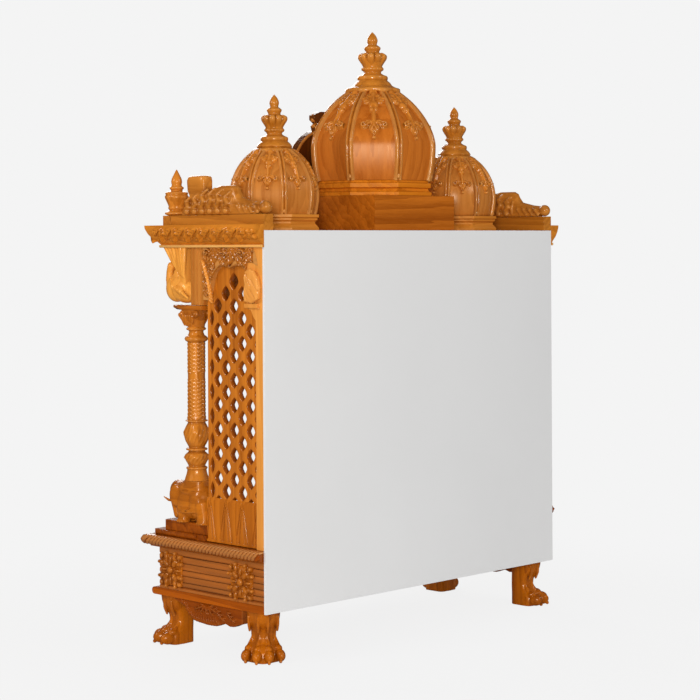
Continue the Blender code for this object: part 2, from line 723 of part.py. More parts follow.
def make_spandrels():
    """Carved foliage over the lattice: an arch that hangs down beside the post."""
    high = roof_under - GAP
    front = -lattice_front + GAP
    edge = ((0.0, 1.0), (0.018, 1.0), (0.028, 0.795), (0.034, 0.62), (0.044, 0.485), (0.060, 0.395),
            (0.078, 0.38), (0.098, 0.425), (0.116, 0.38), (0.136, 0.38))
    outline = [(front, high)]
    outline += [(front + back, high - SPANDREL_DROP * share) for back, share in edge]
    outline += reversed(head_edge(high))
    thickness = LATTICE_SETBACK - 2 * GAP
    for side_name, sx in SIDES:
        mesh = outline_mesh(outline, thickness)
        add_piece(f"spandrel_{side_name}", mesh, TEAK_DARK,
                  (sx * (half - thickness / 2), 0, 0), SIDE_BOARD)


def make_stiles():
    """Rear stiles: a narrow upright with a small ledge, and a plain bird in relief above it."""
    low = deck_top + GAP
    high = roof_under - GAP
    thickness = LATTICE_SETBACK - 2 * GAP
    rear = -back_face
    edge = rear - STILE_WIDTH
    ledge = high - LEDGE_DROP
    shared = [(y + 2 * GAP, z - 2 * GAP) for y, z in head_edge(high)]
    shared[0] = (shared[0][0], high)
    outline = [
        (edge, low), (rear, low), (rear, high), *shared,
        (edge - LEDGE_REACH, high - 0.100), (edge - LEDGE_REACH * 0.8, ledge + 0.016),
        (edge - LEDGE_REACH, ledge + 0.012), (edge - LEDGE_REACH, ledge),
        (edge - LEDGE_REACH * 0.55, ledge - 0.006), (edge - LEDGE_REACH * 0.25, ledge - 0.022),
        (edge, ledge - LEDGE_REACH),
    ]
    for side_name, sx in SIDES:
        mesh = outline_mesh(outline, thickness)
        stile = add_piece(f"stile_{side_name}", mesh, TEAK_LIGHT,
                          (sx * (half - thickness / 2), 0, 0), SIDE_BOARD)
        bird = [(edge + BIRD_HEIGHT * out, ledge + LEDGE_REACH * 0.4 + BIRD_HEIGHT * up) for out, up in (
            (-0.32, 0.08), (-0.05, 0.0), (0.20, 0.12), (0.25, 0.45), (0.18, 0.77), (-0.02, 0.95),
            (-0.15, 1.0), (-0.30, 0.95), (-0.36, 0.58),
        )]
        relief = outline_mesh(bird, BIRD_RELIEF, chamfer=0.003)
        place = (sx * (half + BIRD_RELIEF / 2 - 0.001), 0, 0)
        combine(stile, add_helper(f"{stile.name}_bird", relief, place, SIDE_BOARD))
        inner, outer = sorted((-sx * 0.001, sx * 0.008))
        cap = block_mesh((edge - LEDGE_REACH - 0.002, ledge, inner),
                         (edge + STILE_WIDTH / 2, ledge + 0.010, outer))
        combine(stile, add_helper(f"{stile.name}_ledge", cap, (sx * half, 0, 0), SIDE_BOARD))


def make_front_arch():
    """A cusped arch board between the posts."""
    high = roof_under - GAP
    reach = half - POST_SIZE - GAP
    cusps = ((1.0, 1.0), (0.82, 0.54), (0.54, 0.37), (0.25, 0.30), (0.0, 0.235))
    right = []
    for (x0, drop0), (x1, drop1) in zip(cusps, cusps[1:]):
        for k in range(4):
            share = k / 4
            drop = drop0 + (drop1 - drop0) * share - 0.10 * math.sin(math.pi * share)
            right.append((reach * (x0 + (x1 - x0) * share), high - ARCH_DROP * drop))
    apex = (0.0, high - ARCH_DROP * cusps[-1][1])
    left = [(-x, z) for x, z in reversed(right)]
    outline = [(reach, high), *right, apex, *left, (-reach, high)]
    mesh = outline_mesh(outline, BOARD)
    add_piece("front_arch", mesh, TEAK, (0, -post_y, 0), UP_BOARD)


def make_back_panel():
    panel = block_mesh((-half, -BACK_THICKNESS, FOOT_HEIGHT), (half, 0, roof_top))
    add_piece("back_panel", panel, PANEL_GREY)


def make_roof():
    """Roof board with the carved cornice round it and low fascia boards on its edges."""
    board = block_mesh((-half, -roof_depth, roof_under), (half, -back_face, roof_top))
    add_piece("roof_board", board)
    low = roof_under - 0.006
    reach = CORNICE_REACH
    section = ((0.12, 0.0), (0.15, 0.09), (0.12, 0.13), (0.30, 0.26), (0.58, 0.41), (0.82, 0.63),
               (0.97, 0.85), (1.0, 1.0))
    profile = [(GAP, low)]
    profile += [(reach * out, low + CORNICE_HEIGHT * up) for out, up in section]
    profile += [(GAP, low + CORNICE_HEIGHT)]
    add_piece("cornice", swept_mesh(profile, three_sides(roof_depth)))
    base = roof_top + GAP
    for side_name, sx in SIDES:
        inner = sx * (half - FASCIA_THICKNESS)
        outer = sx * half
        fascia = block_mesh((min(inner, outer), -roof_depth + FASCIA_THICKNESS + GAP, base),
                            (max(inner, outer), 0, fascia_top))
        add_piece(f"fascia_{side_name}", fascia)
    front = block_mesh((-half, -roof_depth, base), (half, -roof_depth + FASCIA_THICKNESS, fascia_top))
    add_piece("fascia_front", front)


def make_corner_finials():
    """Small turned pots with a pointed bud, on the front corners of the roof."""
    shares = ((0.12, 0.96), (0.32, 0.86), (0.46, 0.76), (0.42, 0.68), (0.59, 0.63), (0.56, 0.59),
              (0.47, 0.56), (0.85, 0.50), (1.0, 0.42), (0.68, 0.20), (0.73, 0.17), (0.60, 0.12),
              (0.99, 0.06), (0.99, 0.03), (0.75, 0.0))
    profile = [(CORNER_FINIAL_RADIUS * wide, CORNER_FINIAL_HEIGHT * share) for wide, share in shares]
    inset = CORNER_FINIAL_INSET
    for side_name, sx in SIDES:
        turned(f"corner_finial_{side_name}", profile, 10,
               (sx * (half - inset), -roof_depth + inset, fascia_top + GAP))


def make_lions():
    """Lying lions carved from thick board, along the side fascias."""
    shares = (
        (1.0, 0.0), (0.985, 0.13), (0.925, 0.21), (0.895, 0.32), (0.90, 0.60), (0.91, 0.97), (0.85, 1.0),
        (0.725, 0.98), (0.665, 0.90), (0.64, 0.72), (0.58, 0.69), (0.51, 0.745), (0.395, 0.735), (0.315, 0.63),
        (0.255, 0.47), (0.15, 0.36), (0.085, 0.27), (0.045, 0.30), (0.0, 0.28), (-0.03, 0.15), (-0.02, 0.0),
    )
    outline = [(-LION_SETBACK - LION_LENGTH * along, LION_HEIGHT * up) for along, up in shares]
    for side_name, sx in SIDES:
        mesh = outline_mesh(outline, LION_THICKNESS, chamfer=0.004)
        add_piece(f"lion_{side_name}", mesh, TEAK_DARK,
                  (sx * (half - LION_THICKNESS / 2), 0, fascia_top + GAP), SIDE_BOARD)


def dome_profile(radius, height, widest, top_radius, steps):
    """An onion curve: two quarter ellipses that meet at the widest level, from the top down."""
    upper = (height - widest) / math.sqrt(1 - (top_radius / radius) ** 2)
    base_radius = radius * 0.93
    lower = widest / math.sqrt(1 - (base_radius / radius) ** 2)
    points = []
    for k in range(steps + 1):
        level = height * (1 - k / steps)
        reach = upper if level > widest else lower
        points.append((radius * math.sqrt(1 - ((level - widest) / reach) ** 2), level))
    return points


def ribbed_dome(name, radius, height, widest, top_radius, steps, place, turn):
    """An eight-sided dome with a round rib along each edge, cut off flat at both ends."""
    profile = dome_profile(radius, height, widest, top_radius, steps)
    over = RIB_RADIUS
    dome = turned(name, [(profile[0][0], height + over / 2), *profile, (profile[-1][0], -over / 2)],
                  RIBS, place, turn, smooth=False)
    sunk = RIB_RADIUS / 6
    meridian = [(profile[0][0] - 3 * over, 0, height + over)]
    meridian += [(reach - sunk, 0, level) for reach, level in profile]
    meridian += [(profile[-1][0] - sunk - over / 2, 0, -2 * over)]
    rib = rod_mesh(meridian, [RIB_RADIUS] * len(meridian), 1)
    for k in range(RIBS):
        angle = turn + 2 * math.pi * k / RIBS
        combine(dome, add_helper(f"{name}_rib_{k}", rib, place, (0, 0, angle)))
    reach = radius + 2 * RIB_RADIUS
    slab = block_mesh((-reach, -reach, 0), (reach, reach, height))
    combine(dome, add_helper(f"{name}_trim", slab, place), "INTERSECT")
    return dome


def finial_profile(height, radius):
    """Pot-and-bud finial: scalloped skirt, lotus bowl, rings and a pointed bud."""
    shares = (
        (0.06, 1.0), (0.15, 0.93), (0.205, 0.845), (0.17, 0.780), (0.305, 0.735), (0.317, 0.715),
        (0.265, 0.665), (0.265, 0.645), (0.493, 0.620), (0.541, 0.565), (0.383, 0.415),
        (0.410, 0.360), (0.332, 0.300), (0.580, 0.240), (0.580, 0.190), (0.715, 0.115),
        (1.0, 0.045), (0.985, 0.0),
    )
    return [(radius * wide, height * share) for wide, share in shares]


def make_domes():
    """Two side domes on eight-sided plinths, and the central dome on its platform."""
    base = roof_top + GAP
    eighth = math.pi / RIBS
    plinth = [
        (1.00, 1.0), (1.00, 0.83), (0.965, 0.76), (0.965, 0.66), (0.915, 0.55), (0.915, 0.44),
        (0.965, 0.28), (1.00, 0.16), (1.00, 0.0),
    ]
    profile = [(SIDE_PLINTH_RADIUS * wide, SIDE_PLINTH_HEIGHT * share) for wide, share in plinth]
    dome_low = base + SIDE_PLINTH_HEIGHT + GAP
    for side_name, sx in SIDES:
        x = sx * (half - SIDE_DOME_INSET)
        turn = eighth + sx * SIDE_DOME_TURN
        turned(f"side_plinth_{side_name}", profile, RIBS, (x, -SIDE_DOME_Y, base), eighth, smooth=False)
        ribbed_dome(f"side_dome_{side_name}", SIDE_DOME_RADIUS, SIDE_DOME_HEIGHT, SIDE_DOME_WIDEST,
                    SIDE_DOME_TOP, 6, (x, -SIDE_DOME_Y, dome_low), turn)
        turned(f"side_finial_{side_name}", finial_profile(SIDE_FINIAL_HEIGHT, SIDE_FINIAL_RADIUS), 12,
               (x, -SIDE_DOME_Y, dome_low + SIDE_DOME_HEIGHT + GAP), turn)

    reach = PLATFORM_WIDTH / 2
    platform = block_mesh((-reach, -CENTRE_DOME_Y - reach, base),
                          (reach, -CENTRE_DOME_Y + reach, base + PLATFORM_HEIGHT))
    add_piece("dome_platform", platform)
    level = base + PLATFORM_HEIGHT + GAP
    steps = [(0.94, 1.0), (0.95, 0.86), (0.99, 0.80), (0.99, 0.52), (0.94, 0.46), (0.955, 0.30), (1.0, 0.22),
             (1.0, 0.0)]
    turned("dome_base", [(DOME_BASE_RADIUS * wide, DOME_BASE_HEIGHT * share) for wide, share in steps], RIBS,
           (0, -CENTRE_DOME_Y, level), eighth, smooth=False)
    level += DOME_BASE_HEIGHT + GAP
    ribbed_dome("centre_dome", CENTRE_DOME_RADIUS, CENTRE_DOME_HEIGHT, CENTRE_DOME_WIDEST,
                CENTRE_DOME_TOP, 8, (0, -CENTRE_DOME_Y, level), eighth)
    turned("centre_finial", finial_profile(CENTRE_FINIAL_HEIGHT, CENTRE_FINIAL_RADIUS), 12,
           (0, -CENTRE_DOME_Y, level + CENTRE_DOME_HEIGHT + GAP), eighth)


def make_crest():
    """The arched crest on the front fascia, with a pot-shaped ornament on its top."""
    radius = CREST_WIDTH / 2
    base = fascia_top + GAP
    spring = CREST_HEIGHT - radius
    outline = [(-radius, 0), (radius, 0)]
    for k in range(17):
        angle = math.pi * k / 16
        x = radius * math.cos(angle)
        if abs(x) < CREST_ORNAMENT_WIDTH * 0.44:
            continue
        outline.append((x, spring + radius * math.sin(angle)))
    top = ((0.38, -0.08), (0.44, 0.16), (0.29, 0.28), (0.50, 0.48), (0.50, 0.72), (0.26, 0.88), (0.15, 0.92))
    ornament = [(CREST_ORNAMENT_WIDTH * x, CREST_HEIGHT + CREST_ORNAMENT_HEIGHT * z) for x, z in top]
    ornament += [(-x, z) for x, z in reversed(ornament)]
    middle = 2 + sum(1 for point in outline[2:] if point[0] > 0)
    outline[middle:middle] = ornament
    mesh = outline_mesh(outline, CREST_THICKNESS)
    add_piece("crest_board", mesh, TEAK_DARK,
              (0, -roof_depth + FASCIA_THICKNESS / 2, base), UP_BOARD)


def centre_on_floor():
    """Moves the common empty so that the object's box is centred over the origin."""
    graph = bpy.context.evaluated_depsgraph_get()
    lows = []
    highs = []
    for piece in pieces.objects:
        if piece.type != "MESH":
            continue
        shown = piece.evaluated_get(graph)
        places = [(shown.matrix_world @ point.co).y for point in shown.to_mesh().vertices]
        shown.to_mesh_clear()
        lows.append(min(places))
        highs.append(max(places))
    origin.location.y = -(min(lows) + max(highs)) / 2


make_feet()
make_aprons()
make_base()
make_steps()
make_elephants()
make_columns()
make_posts()
make_peacocks()
make_lattices()
make_spandrels()
make_stiles()
make_front_arch()
make_back_panel()
make_roof()
make_corner_finials()
make_lions()
make_domes()
make_crest()
centre_on_floor()
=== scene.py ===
"""The pooja mandir's looks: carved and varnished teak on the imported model, in a plain pale studio."""

import math

import bmesh
import bpy
import numpy as np
from mathutils import Matrix, Vector


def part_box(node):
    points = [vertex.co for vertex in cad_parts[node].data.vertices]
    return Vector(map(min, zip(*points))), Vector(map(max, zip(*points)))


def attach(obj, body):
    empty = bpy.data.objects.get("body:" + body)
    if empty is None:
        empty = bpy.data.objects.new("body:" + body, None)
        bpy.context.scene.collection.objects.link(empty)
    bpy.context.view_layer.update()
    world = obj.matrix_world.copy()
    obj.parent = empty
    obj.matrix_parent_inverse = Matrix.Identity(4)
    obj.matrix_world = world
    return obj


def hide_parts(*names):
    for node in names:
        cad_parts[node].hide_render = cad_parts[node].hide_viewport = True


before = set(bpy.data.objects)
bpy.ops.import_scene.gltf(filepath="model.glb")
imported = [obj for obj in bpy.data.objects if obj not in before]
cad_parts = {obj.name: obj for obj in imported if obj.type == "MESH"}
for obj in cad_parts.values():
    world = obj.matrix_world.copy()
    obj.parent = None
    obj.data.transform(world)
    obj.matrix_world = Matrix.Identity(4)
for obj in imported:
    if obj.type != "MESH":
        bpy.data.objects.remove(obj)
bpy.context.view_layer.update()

# The room
# The mandir stands on a plain pale floor that fades into a plain pale room. Four soft lights and a dim room
# light it evenly, and the camera looks level from behind the mandir's right-hand side.
back_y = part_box("back_panel")[1].y
floor_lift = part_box("back_panel")[0].z
PALE = (0.905, 0.905, 0.905, 1)


def preset(node, values):
    """Fixed values on some of a node's own sockets."""
    for socket, value in values.items():
        node.inputs[socket].default_value = value


def add_node(tree, kind, values=None, operation=None, colours=False):
    """A shader node with fixed values on some of its sockets; a mixing node may mix colours."""
    node = tree.nodes.new(kind)
    if operation:
        node.operation = operation
    if colours:
        node.data_type = "RGBA"
    preset(node, values or {})
    return node


def wire(tree, *joints):
    """Joins nodes: each joint is a node and its output, then a node and its input."""
    for giver, output, taker, entry in joints:
        tree.links.new(giver.outputs[output], taker.inputs[entry])


room = bpy.data.worlds.new("pale_room")
room.use_nodes = True
tree = room.node_tree
tree.nodes.clear()
seen = add_node(tree, "ShaderNodeBackground", {"Color": PALE, "Strength": 1.0})
around = add_node(tree, "ShaderNodeBackground", {"Color": (1.0, 0.985, 0.965, 1), "Strength": 0.42})
mirrored = add_node(tree, "ShaderNodeBackground", {"Color": (1.0, 0.94, 0.86, 1), "Strength": 0.06})
ray_kind = add_node(tree, "ShaderNodeLightPath")
dim = add_node(tree, "ShaderNodeMixShader")
mix = add_node(tree, "ShaderNodeMixShader")
wire(tree, (ray_kind, "Is Glossy Ray", dim, "Fac"), (around, 0, dim, 1), (mirrored, 0, dim, 2),
     (ray_kind, "Is Camera Ray", mix, "Fac"), (dim, 0, mix, 1), (seen, 0, mix, 2),
     (mix, 0, add_node(tree, "ShaderNodeOutputWorld"), "Surface"))
bpy.context.scene.world = room

floor_mesh = bpy.data.meshes.new("floor")
bm = bmesh.new()
bmesh.ops.create_circle(bm, cap_ends=True, segments=64, radius=3.2)
bm.to_mesh(floor_mesh)
bm.free()
floor = bpy.data.objects.new("floor", floor_mesh)
bpy.context.scene.collection.objects.link(floor)
floor_paint = bpy.data.materials.new("pale_floor")
floor_paint.use_nodes = True
tree = floor_paint.node_tree
paint = tree.nodes["Principled BSDF"]
preset(paint, {"Roughness": 0.9, "Specular IOR Level": 0.0})
clear = add_node(tree, "ShaderNodeBsdfTransparent")
far = add_node(tree, "ShaderNodeVectorMath", operation="LENGTH")
fade = add_node(tree, "ShaderNodeMapRange", {"From Min": 0.65, "From Max": 1.7})
fade.interpolation_type = "SMOOTHSTEP"
blend = add_node(tree, "ShaderNodeMixShader")
lit = add_node(tree, "ShaderNodeEmission", {"Color": PALE})
ray_kind = add_node(tree, "ShaderNodeLightPath")
dulled = add_node(tree, "ShaderNodeMapRange", {"To Min": 0.86, "To Max": 0.14})
share = add_node(tree, "ShaderNodeMath", {1: 0.94}, "MULTIPLY")
half_lit = add_node(tree, "ShaderNodeMixShader")
wire(tree, (add_node(tree, "ShaderNodeTexCoord"), "Object", far, 0), (far, "Value", fade, "Value"),
     (fade, "Result", blend, "Fac"), (ray_kind, "Is Glossy Ray", dulled, "Value"),
     (dulled, "Result", paint, "Base Color"), (ray_kind, "Is Camera Ray", share, 0),
     (share, "Value", half_lit, "Fac"), (paint, "BSDF", half_lit, 1), (lit, "Emission", half_lit, 2),
     (half_lit, "Shader", blend, 1), (clear, "BSDF", blend, 2),
     (blend, "Shader", tree.nodes["Material Output"], "Surface"))
floor_mesh.materials.append(floor_paint)


def hang_light(name, place, aim, size, power, colour=(1.0, 1.0, 1.0)):
    """A square soft light that faces the point it is aimed at."""
    lamp = bpy.data.lights.new(name, "AREA")
    lamp.shape = "RECTANGLE"
    lamp.size = size[0]
    lamp.size_y = size[1]
    lamp.energy = power
    lamp.color = colour
    holder = bpy.data.objects.new(name, lamp)
    holder.location = place
    holder.rotation_euler = (Vector(aim) - Vector(place)).to_track_quat("-Z", "Y").to_euler()
    bpy.context.scene.collection.objects.link(holder)


hang_light("key_softbox", (4.1, 3.7, 1.20), (0.0, 0.0, 0.9), (1.0, 1.3), 160, (1.0, 0.985, 0.96))
hang_light("left_softbox", (3.1, -0.7, 2.3), (0.0, 0.0, 0.9), (0.6, 0.8), 26, (1.0, 0.97, 0.93))
hang_light("right_softbox", (-0.6, 3.4, 2.5), (0.0, 0.0, 0.8), (0.8, 0.8), 22, (0.97, 0.98, 1.0))
hang_light("front_softbox", (-1.6, -3.0, 2.4), (0.0, 0.0, 0.8), (1.8, 1.6), 46)

camera = bpy.data.cameras.new("camera")
camera.sensor_width = 36
camera.lens = 98.98
camera.shift_y = -0.1536
viewer = bpy.data.objects.new("camera", camera)
yaw = math.radians(-135.53)
roll = math.radians(-0.29)
ahead = Vector((math.cos(yaw), math.sin(yaw), 0))
side = Vector((math.sin(yaw), -math.cos(yaw), 0))
over = Vector((0, 0, 1))
right = side * math.cos(roll) + over * math.sin(roll)
above = over * math.cos(roll) - side * math.sin(roll)
pose = Matrix((right, above, -ahead)).transposed().to_4x4()
pose.translation = (3.5909, 3.2816 + back_y, 0.867 + floor_lift)
viewer.matrix_world = pose
bpy.context.scene.collection.objects.link(viewer)
bpy.context.scene.camera = viewer
bpy.context.scene.view_settings.view_transform = "Standard"

# Feet
# Lion paws carved from solid teak, one at each corner and turned outward. The heel sides are sawn flat, and
# tendons run down the leg to four clawed toes. Every carved piece is varnished, with painted shade in its
# hollows and painted highlights along its sharp edges.


def new_group(name, inputs, outputs):
    """An empty node group with its named sockets, its entry and its exit."""
    group = bpy.data.node_groups.new(name, "ShaderNodeTree")
    for way, sockets in (("INPUT", inputs), ("OUTPUT", outputs)):
        for label, kind in sockets.items():
            group.interface.new_socket(label, in_out=way, socket_type=kind)
    return group, group.nodes.new("NodeGroupInput"), group.nodes.new("NodeGroupOutput")


def grain_group():
    """Teak's figure: broad bands, streaks and fine pores, drawn out along the grain."""
    group, entry, leave = new_group(
        "teak_figure", {"Vector": "NodeSocketVector", "Pale": "NodeSocketColor", "Deep": "NodeSocketColor"},
        {"Colour": "NodeSocketColor", "Sheen": "NodeSocketFloat", "Height": "NodeSocketFloat"})

    def cloud(scale, detail, distortion):
        texture = add_node(group, "ShaderNodeTexNoise",
                           {"Scale": scale, "Detail": detail, "Distortion": distortion})
        wire(group, (entry, "Vector", texture, "Vector"))
        return texture

    def sum_of(first, output, second, share):
        step = add_node(group, "ShaderNodeMath", {1: share}, "MULTIPLY_ADD")
        wire(group, (second, "Fac", step, 0), (first, output, step, 2))
        return step

    rings = add_node(group, "ShaderNodeTexWave",
                     {"Scale": 21, "Distortion": 7.0, "Detail": 3.0, "Detail Scale": 1.2})
    rings.wave_type = "BANDS"
    rings.bands_direction = "DIAGONAL"
    rings.wave_profile = "SAW"
    streak = cloud(110, 5, 0.3)
    pore = cloud(620, 2, 0.0)
    level = sum_of(cloud(16, 3, 0.5), "Fac", rings, 0.30)
    level = sum_of(level, "Value", streak, 0.55)
    level = sum_of(level, "Value", pore, 0.35)
    spread = add_node(group, "ShaderNodeMapRange", {"From Min": 0.76, "From Max": 1.42})
    tint = add_node(group, "ShaderNodeMix", colours=True)
    sheen = add_node(group, "ShaderNodeMapRange",
                     {"From Min": 0.3, "From Max": 0.7, "To Min": 0.24, "To Max": 0.38})
    wire(group, (entry, "Vector", rings, "Vector"), (level, "Value", spread, "Value"),
         (spread, "Result", tint, "Factor"), (entry, "Deep", tint, "A"), (entry, "Pale", tint, "B"),
         (streak, "Fac", sheen, "Value"), (tint, "Result", leave, "Colour"),
         (sheen, "Result", leave, "Sheen"), (sum_of(streak, "Fac", pore, 0.8), "Value", leave, "Height"))
    return group


def shade_group():
    """Painted shade and painted highlight on a carving: darker in its hollows, where shade falls, and paler
    along its sharp edges, where highlights fall.
    """
    group, entry, leave = new_group( "painted_shade_and_highlight",
                                    {"Colour": "NodeSocketColor", "Depth": "NodeSocketFloat",
                                     "Wear": "NodeSocketFloat", "Reach": "NodeSocketFloat"},
                                    {"Colour": "NodeSocketColor"})
    hollow = add_node(group, "ShaderNodeAmbientOcclusion")
    hollow.samples = 5
    hollow.only_local = True
    closed = add_node(group, "ShaderNodeMapRange",
                      {"From Min": 0.25, "From Max": 0.95, "To Min": 1.0, "To Max": 0.0})
    amount = add_node(group, "ShaderNodeMath", operation="MULTIPLY")
    # Painted shade: the colour is multiplied towards dark brown where ambient occlusion finds a hollow.
    hollow_shade = add_node(group, "ShaderNodeMix", {"B": (0.30, 0.16, 0.07, 1)}, colours=True)
    hollow_shade.blend_type = "MULTIPLY"
    # Painted highlight: sharp convex edges, found by pointiness, are mixed towards a pale orange.
    edge = add_node(group, "ShaderNodeMapRange", {"From Min": 0.515, "From Max": 0.60})
    edge_highlight_share = add_node(group, "ShaderNodeMath", operation="MULTIPLY")
    pale = add_node(group, "ShaderNodeMix", {"B": (0.90, 0.50, 0.16, 1)}, colours=True)
    wire(group, (entry, "Reach", hollow, "Distance"), (hollow, "AO", closed, "Value"),
         (closed, "Result", amount, 0), (entry, "Depth", amount, 1), (amount, "Value", hollow_shade, "Factor"),
         (entry, "Colour", hollow_shade, "A"), (hollow_shade, "Result", pale, "A"),
         (add_node(group, "ShaderNodeNewGeometry"), "Pointiness", edge, "Value"),
         (edge, "Result", edge_highlight_share, 0), (entry, "Wear", edge_highlight_share, 1), (edge_highlight_share, "Value", pale, "Factor"),
         (pale, "Result", leave, "Colour"))
    return group


teak_figure = grain_group()
painted_shade_and_highlight = shade_group()
ALONG = {"X": (0.055, 1.0, 1.0), "Y": (1.0, 0.055, 1.0), "Z": (1.0, 1.0, 0.055)}


def teak(name, pale, deep, grain="Z", depth=0.0, edge_highlight=0.0, reach=0.010, edge=0.0, coat=0.35,
         shift=(0, 0, 0), matt=0.12):
    """Varnished teak with its grain along one axis; carved pieces get painted shade in their hollows and
    painted highlights on their edges.
    """
    wood = bpy.data.materials.new(name)
    wood.use_nodes = True
    tree = wood.node_tree
    shader = tree.nodes["Principled BSDF"]
    preset(shader, {"Specular IOR Level": min(0.42, 0.08 + coat), "Specular Tint": (1.0, 0.66, 0.34, 1),
                    "Coat Weight": coat * 0.6, "Coat Roughness": matt})
    draw = add_node(tree, "ShaderNodeMapping")
    draw.vector_type = "TEXTURE"
    preset(draw, {"Location": shift, "Scale": tuple(1 / s for s in ALONG[grain])})
    figure = add_node(tree, "ShaderNodeGroup")
    figure.node_tree = teak_figure
    preset(figure, {"Pale": (*pale, 1), "Deep": (*deep, 1)})
    bump = add_node(tree, "ShaderNodeBump", {"Strength": 0.25, "Distance": 0.0004})
    wire(tree, (add_node(tree, "ShaderNodeTexCoord"), "Object", draw, "Vector"),
         (draw, "Vector", figure, "Vector"), (figure, "Sheen", shader, "Roughness"),
         (figure, "Height", bump, "Height"), (bump, "Normal", shader, "Normal"))
    coloured = figure
    # Carved pieces get painted shade in their hollows and painted highlights on their sharp edges.
    if depth or edge_highlight:
        coloured = add_node(tree, "ShaderNodeGroup")
        coloured.node_tree = painted_shade_and_highlight
        preset(coloured, {"Depth": depth, "Wear": edge_highlight, "Reach": reach})
        wire(tree, (figure, "Colour", coloured, "Colour"))
    wire(tree, (coloured, "Colour", shader, "Base Color"))
    if edge:
        soft = add_node(tree, "ShaderNodeBevel", {"Radius": edge})
        soft.samples = 4
        wire(tree, (soft, "Normal", bump, "Normal"))
    return wood


def paint_nodes(wood, *nodes):
    """Gives plain solids, whose shapes stay as they are, their finish."""
    for node in nodes:
        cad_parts[node].data.materials[0] = wood


def show(piece, *stands_for, slot="teak"):
    """Puts a finished piece on the mandir, in place of the plain solids that it stands for."""
    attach(piece, "root")
    if stands_for:
        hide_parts(*stands_for)


def new_piece(name, bm, wood, smooth=40):
    """The object of a modelled mesh, with smooth faces that stay sharp at real edges."""
    mesh = bpy.data.meshes.new(name)
    bm.to_mesh(mesh)
    bm.free()
    mesh.materials.append(wood)
    mesh.shade_smooth()
    mesh.set_sharp_from_angle(angle=math.radians(smooth))
    piece = bpy.data.objects.new(name, mesh)
    bpy.context.scene.collection.objects.link(piece)
    return piece


def one_skin(name, bm, wood, cut=0.0013, rub=2):
    """Carves overlapping forms out of one block: a single fine skin, rubbed down a little."""
    rough = new_piece(f"{name}_rough", bm, wood, 180)
    skin = rough.modifiers.new("block", "REMESH")
    skin.mode = "VOXEL"
    skin.voxel_size = cut
    sand = rough.modifiers.new("sanding", "SMOOTH")
    sand.factor = 0.5
    sand.iterations = rub
    paring = rough.modifiers.new("paring", "DECIMATE")
    paring.ratio = 0.42
    graph = bpy.context.evaluated_depsgraph_get()
    mesh = bpy.data.meshes.new_from_object(rough.evaluated_get(graph))
    bpy.data.objects.remove(rough, do_unlink=True)
    mesh.name = name
    mesh.materials.clear()
    mesh.materials.append(wood)
    mesh.shade_smooth()
    piece = bpy.data.objects.new(name, mesh)
    bpy.context.scene.collection.objects.link(piece)
    return piece


def show_pair(piece, *stands_for, slot="teak"):
    """Shows a right-hand piece and the same carving mirrored across the mandir, for the left-hand side."""
    show(piece, *stands_for, slot=slot)
    bm = bmesh.new()
    bm.from_mesh(piece.data)
    bmesh.ops.scale(bm, vec=(-1, 1, 1), verts=bm.verts)
    bmesh.ops.reverse_faces(bm, faces=bm.faces)
    twin = new_piece(piece.name.replace("right", "left"), bm, piece.data.materials[0], 180)
    show(twin, *[node.replace("right", "left") for node in stands_for], slot=slot)


def lump(bm, centre, radii, turn=(0, 0, 0), steps=10):
    """A rounded mass, stretched and turned."""
    made = bmesh.ops.create_uvsphere(bm, u_segments=2 * steps, v_segments=steps, radius=1)
    spin = Matrix.Rotation(turn[2], 4, "Z") @ Matrix.Rotation(turn[1], 4, "Y")
    spin = spin @ Matrix.Rotation(turn[0], 4, "X")
    grow = Matrix.Translation(centre) @ spin @ Matrix.Diagonal((*radii, 1))
    bmesh.ops.transform(bm, matrix=grow, verts=made["verts"])


def limb(bm, path, radii, steps=10):
    """A tapering limb along a few points, round at every joint."""
    for a, b, wide, thin in zip(path, path[1:], radii, radii[1:]):
        start = Vector(a)
        end = Vector(b)
        axis = end - start
        place = Matrix.Translation((start + end) / 2) @ axis.to_track_quat("Z", "Y").to_matrix().to_4x4()
        bmesh.ops.create_cone(bm, cap_ends=True, segments=steps, radius1=wide, radius2=thin,
                              depth=axis.length, matrix=place)
    for point, radius in zip(path, radii):
        bmesh.ops.create_uvsphere(bm, u_segments=steps, v_segments=max(6, steps // 2 + 2), radius=radius,
                                  matrix=Matrix.Translation(point))


def stack(bm, sections, sides=24):
    """A solid drawn through squared-off rings: height, middle, half sizes, squareness."""
    rings = []
    for height, middle, sizes, power in sections:
        ring = bmesh.ops.create_circle(bm, segments=sides, radius=1)["verts"]
        for corner in ring:
            x, y = corner.co.x, corner.co.y
            corner.co = (middle[0] + sizes[0] * math.copysign(abs(x) ** power, x),
                         middle[1] + sizes[1] * math.copysign(abs(y) ** power, y), height)
        rings.append(sorted({edge for corner in ring for edge in corner.link_edges}, key=lambda e: e.index))
        bm.edges.index_update()
    for low, high in zip(rings, rings[1:]):
        bmesh.ops.bridge_loops(bm, edges=low + high)
    for ring in (rings[0], rings[-1]):
        bmesh.ops.contextual_create(bm, geom=ring)
    bmesh.ops.recalc_face_normals(bm, faces=bm.faces)


def saw_off(bm, place, facing):
    """Saws the block flat at a plane, and closes the cut."""
    bmesh.ops.bisect_plane(bm, geom=bm.verts[:] + bm.edges[:] + bm.faces[:], plane_co=place, plane_no=facing,
                           clear_outer=True)
    bmesh.ops.holes_fill(bm, edges=[e for e in bm.edges if e.is_boundary], sides=0)


def spot(x, y, z):
    """A place given from the middle, the back plane and the underside of the base box."""
    return Vector((x, back_y + y, floor_lift + z))


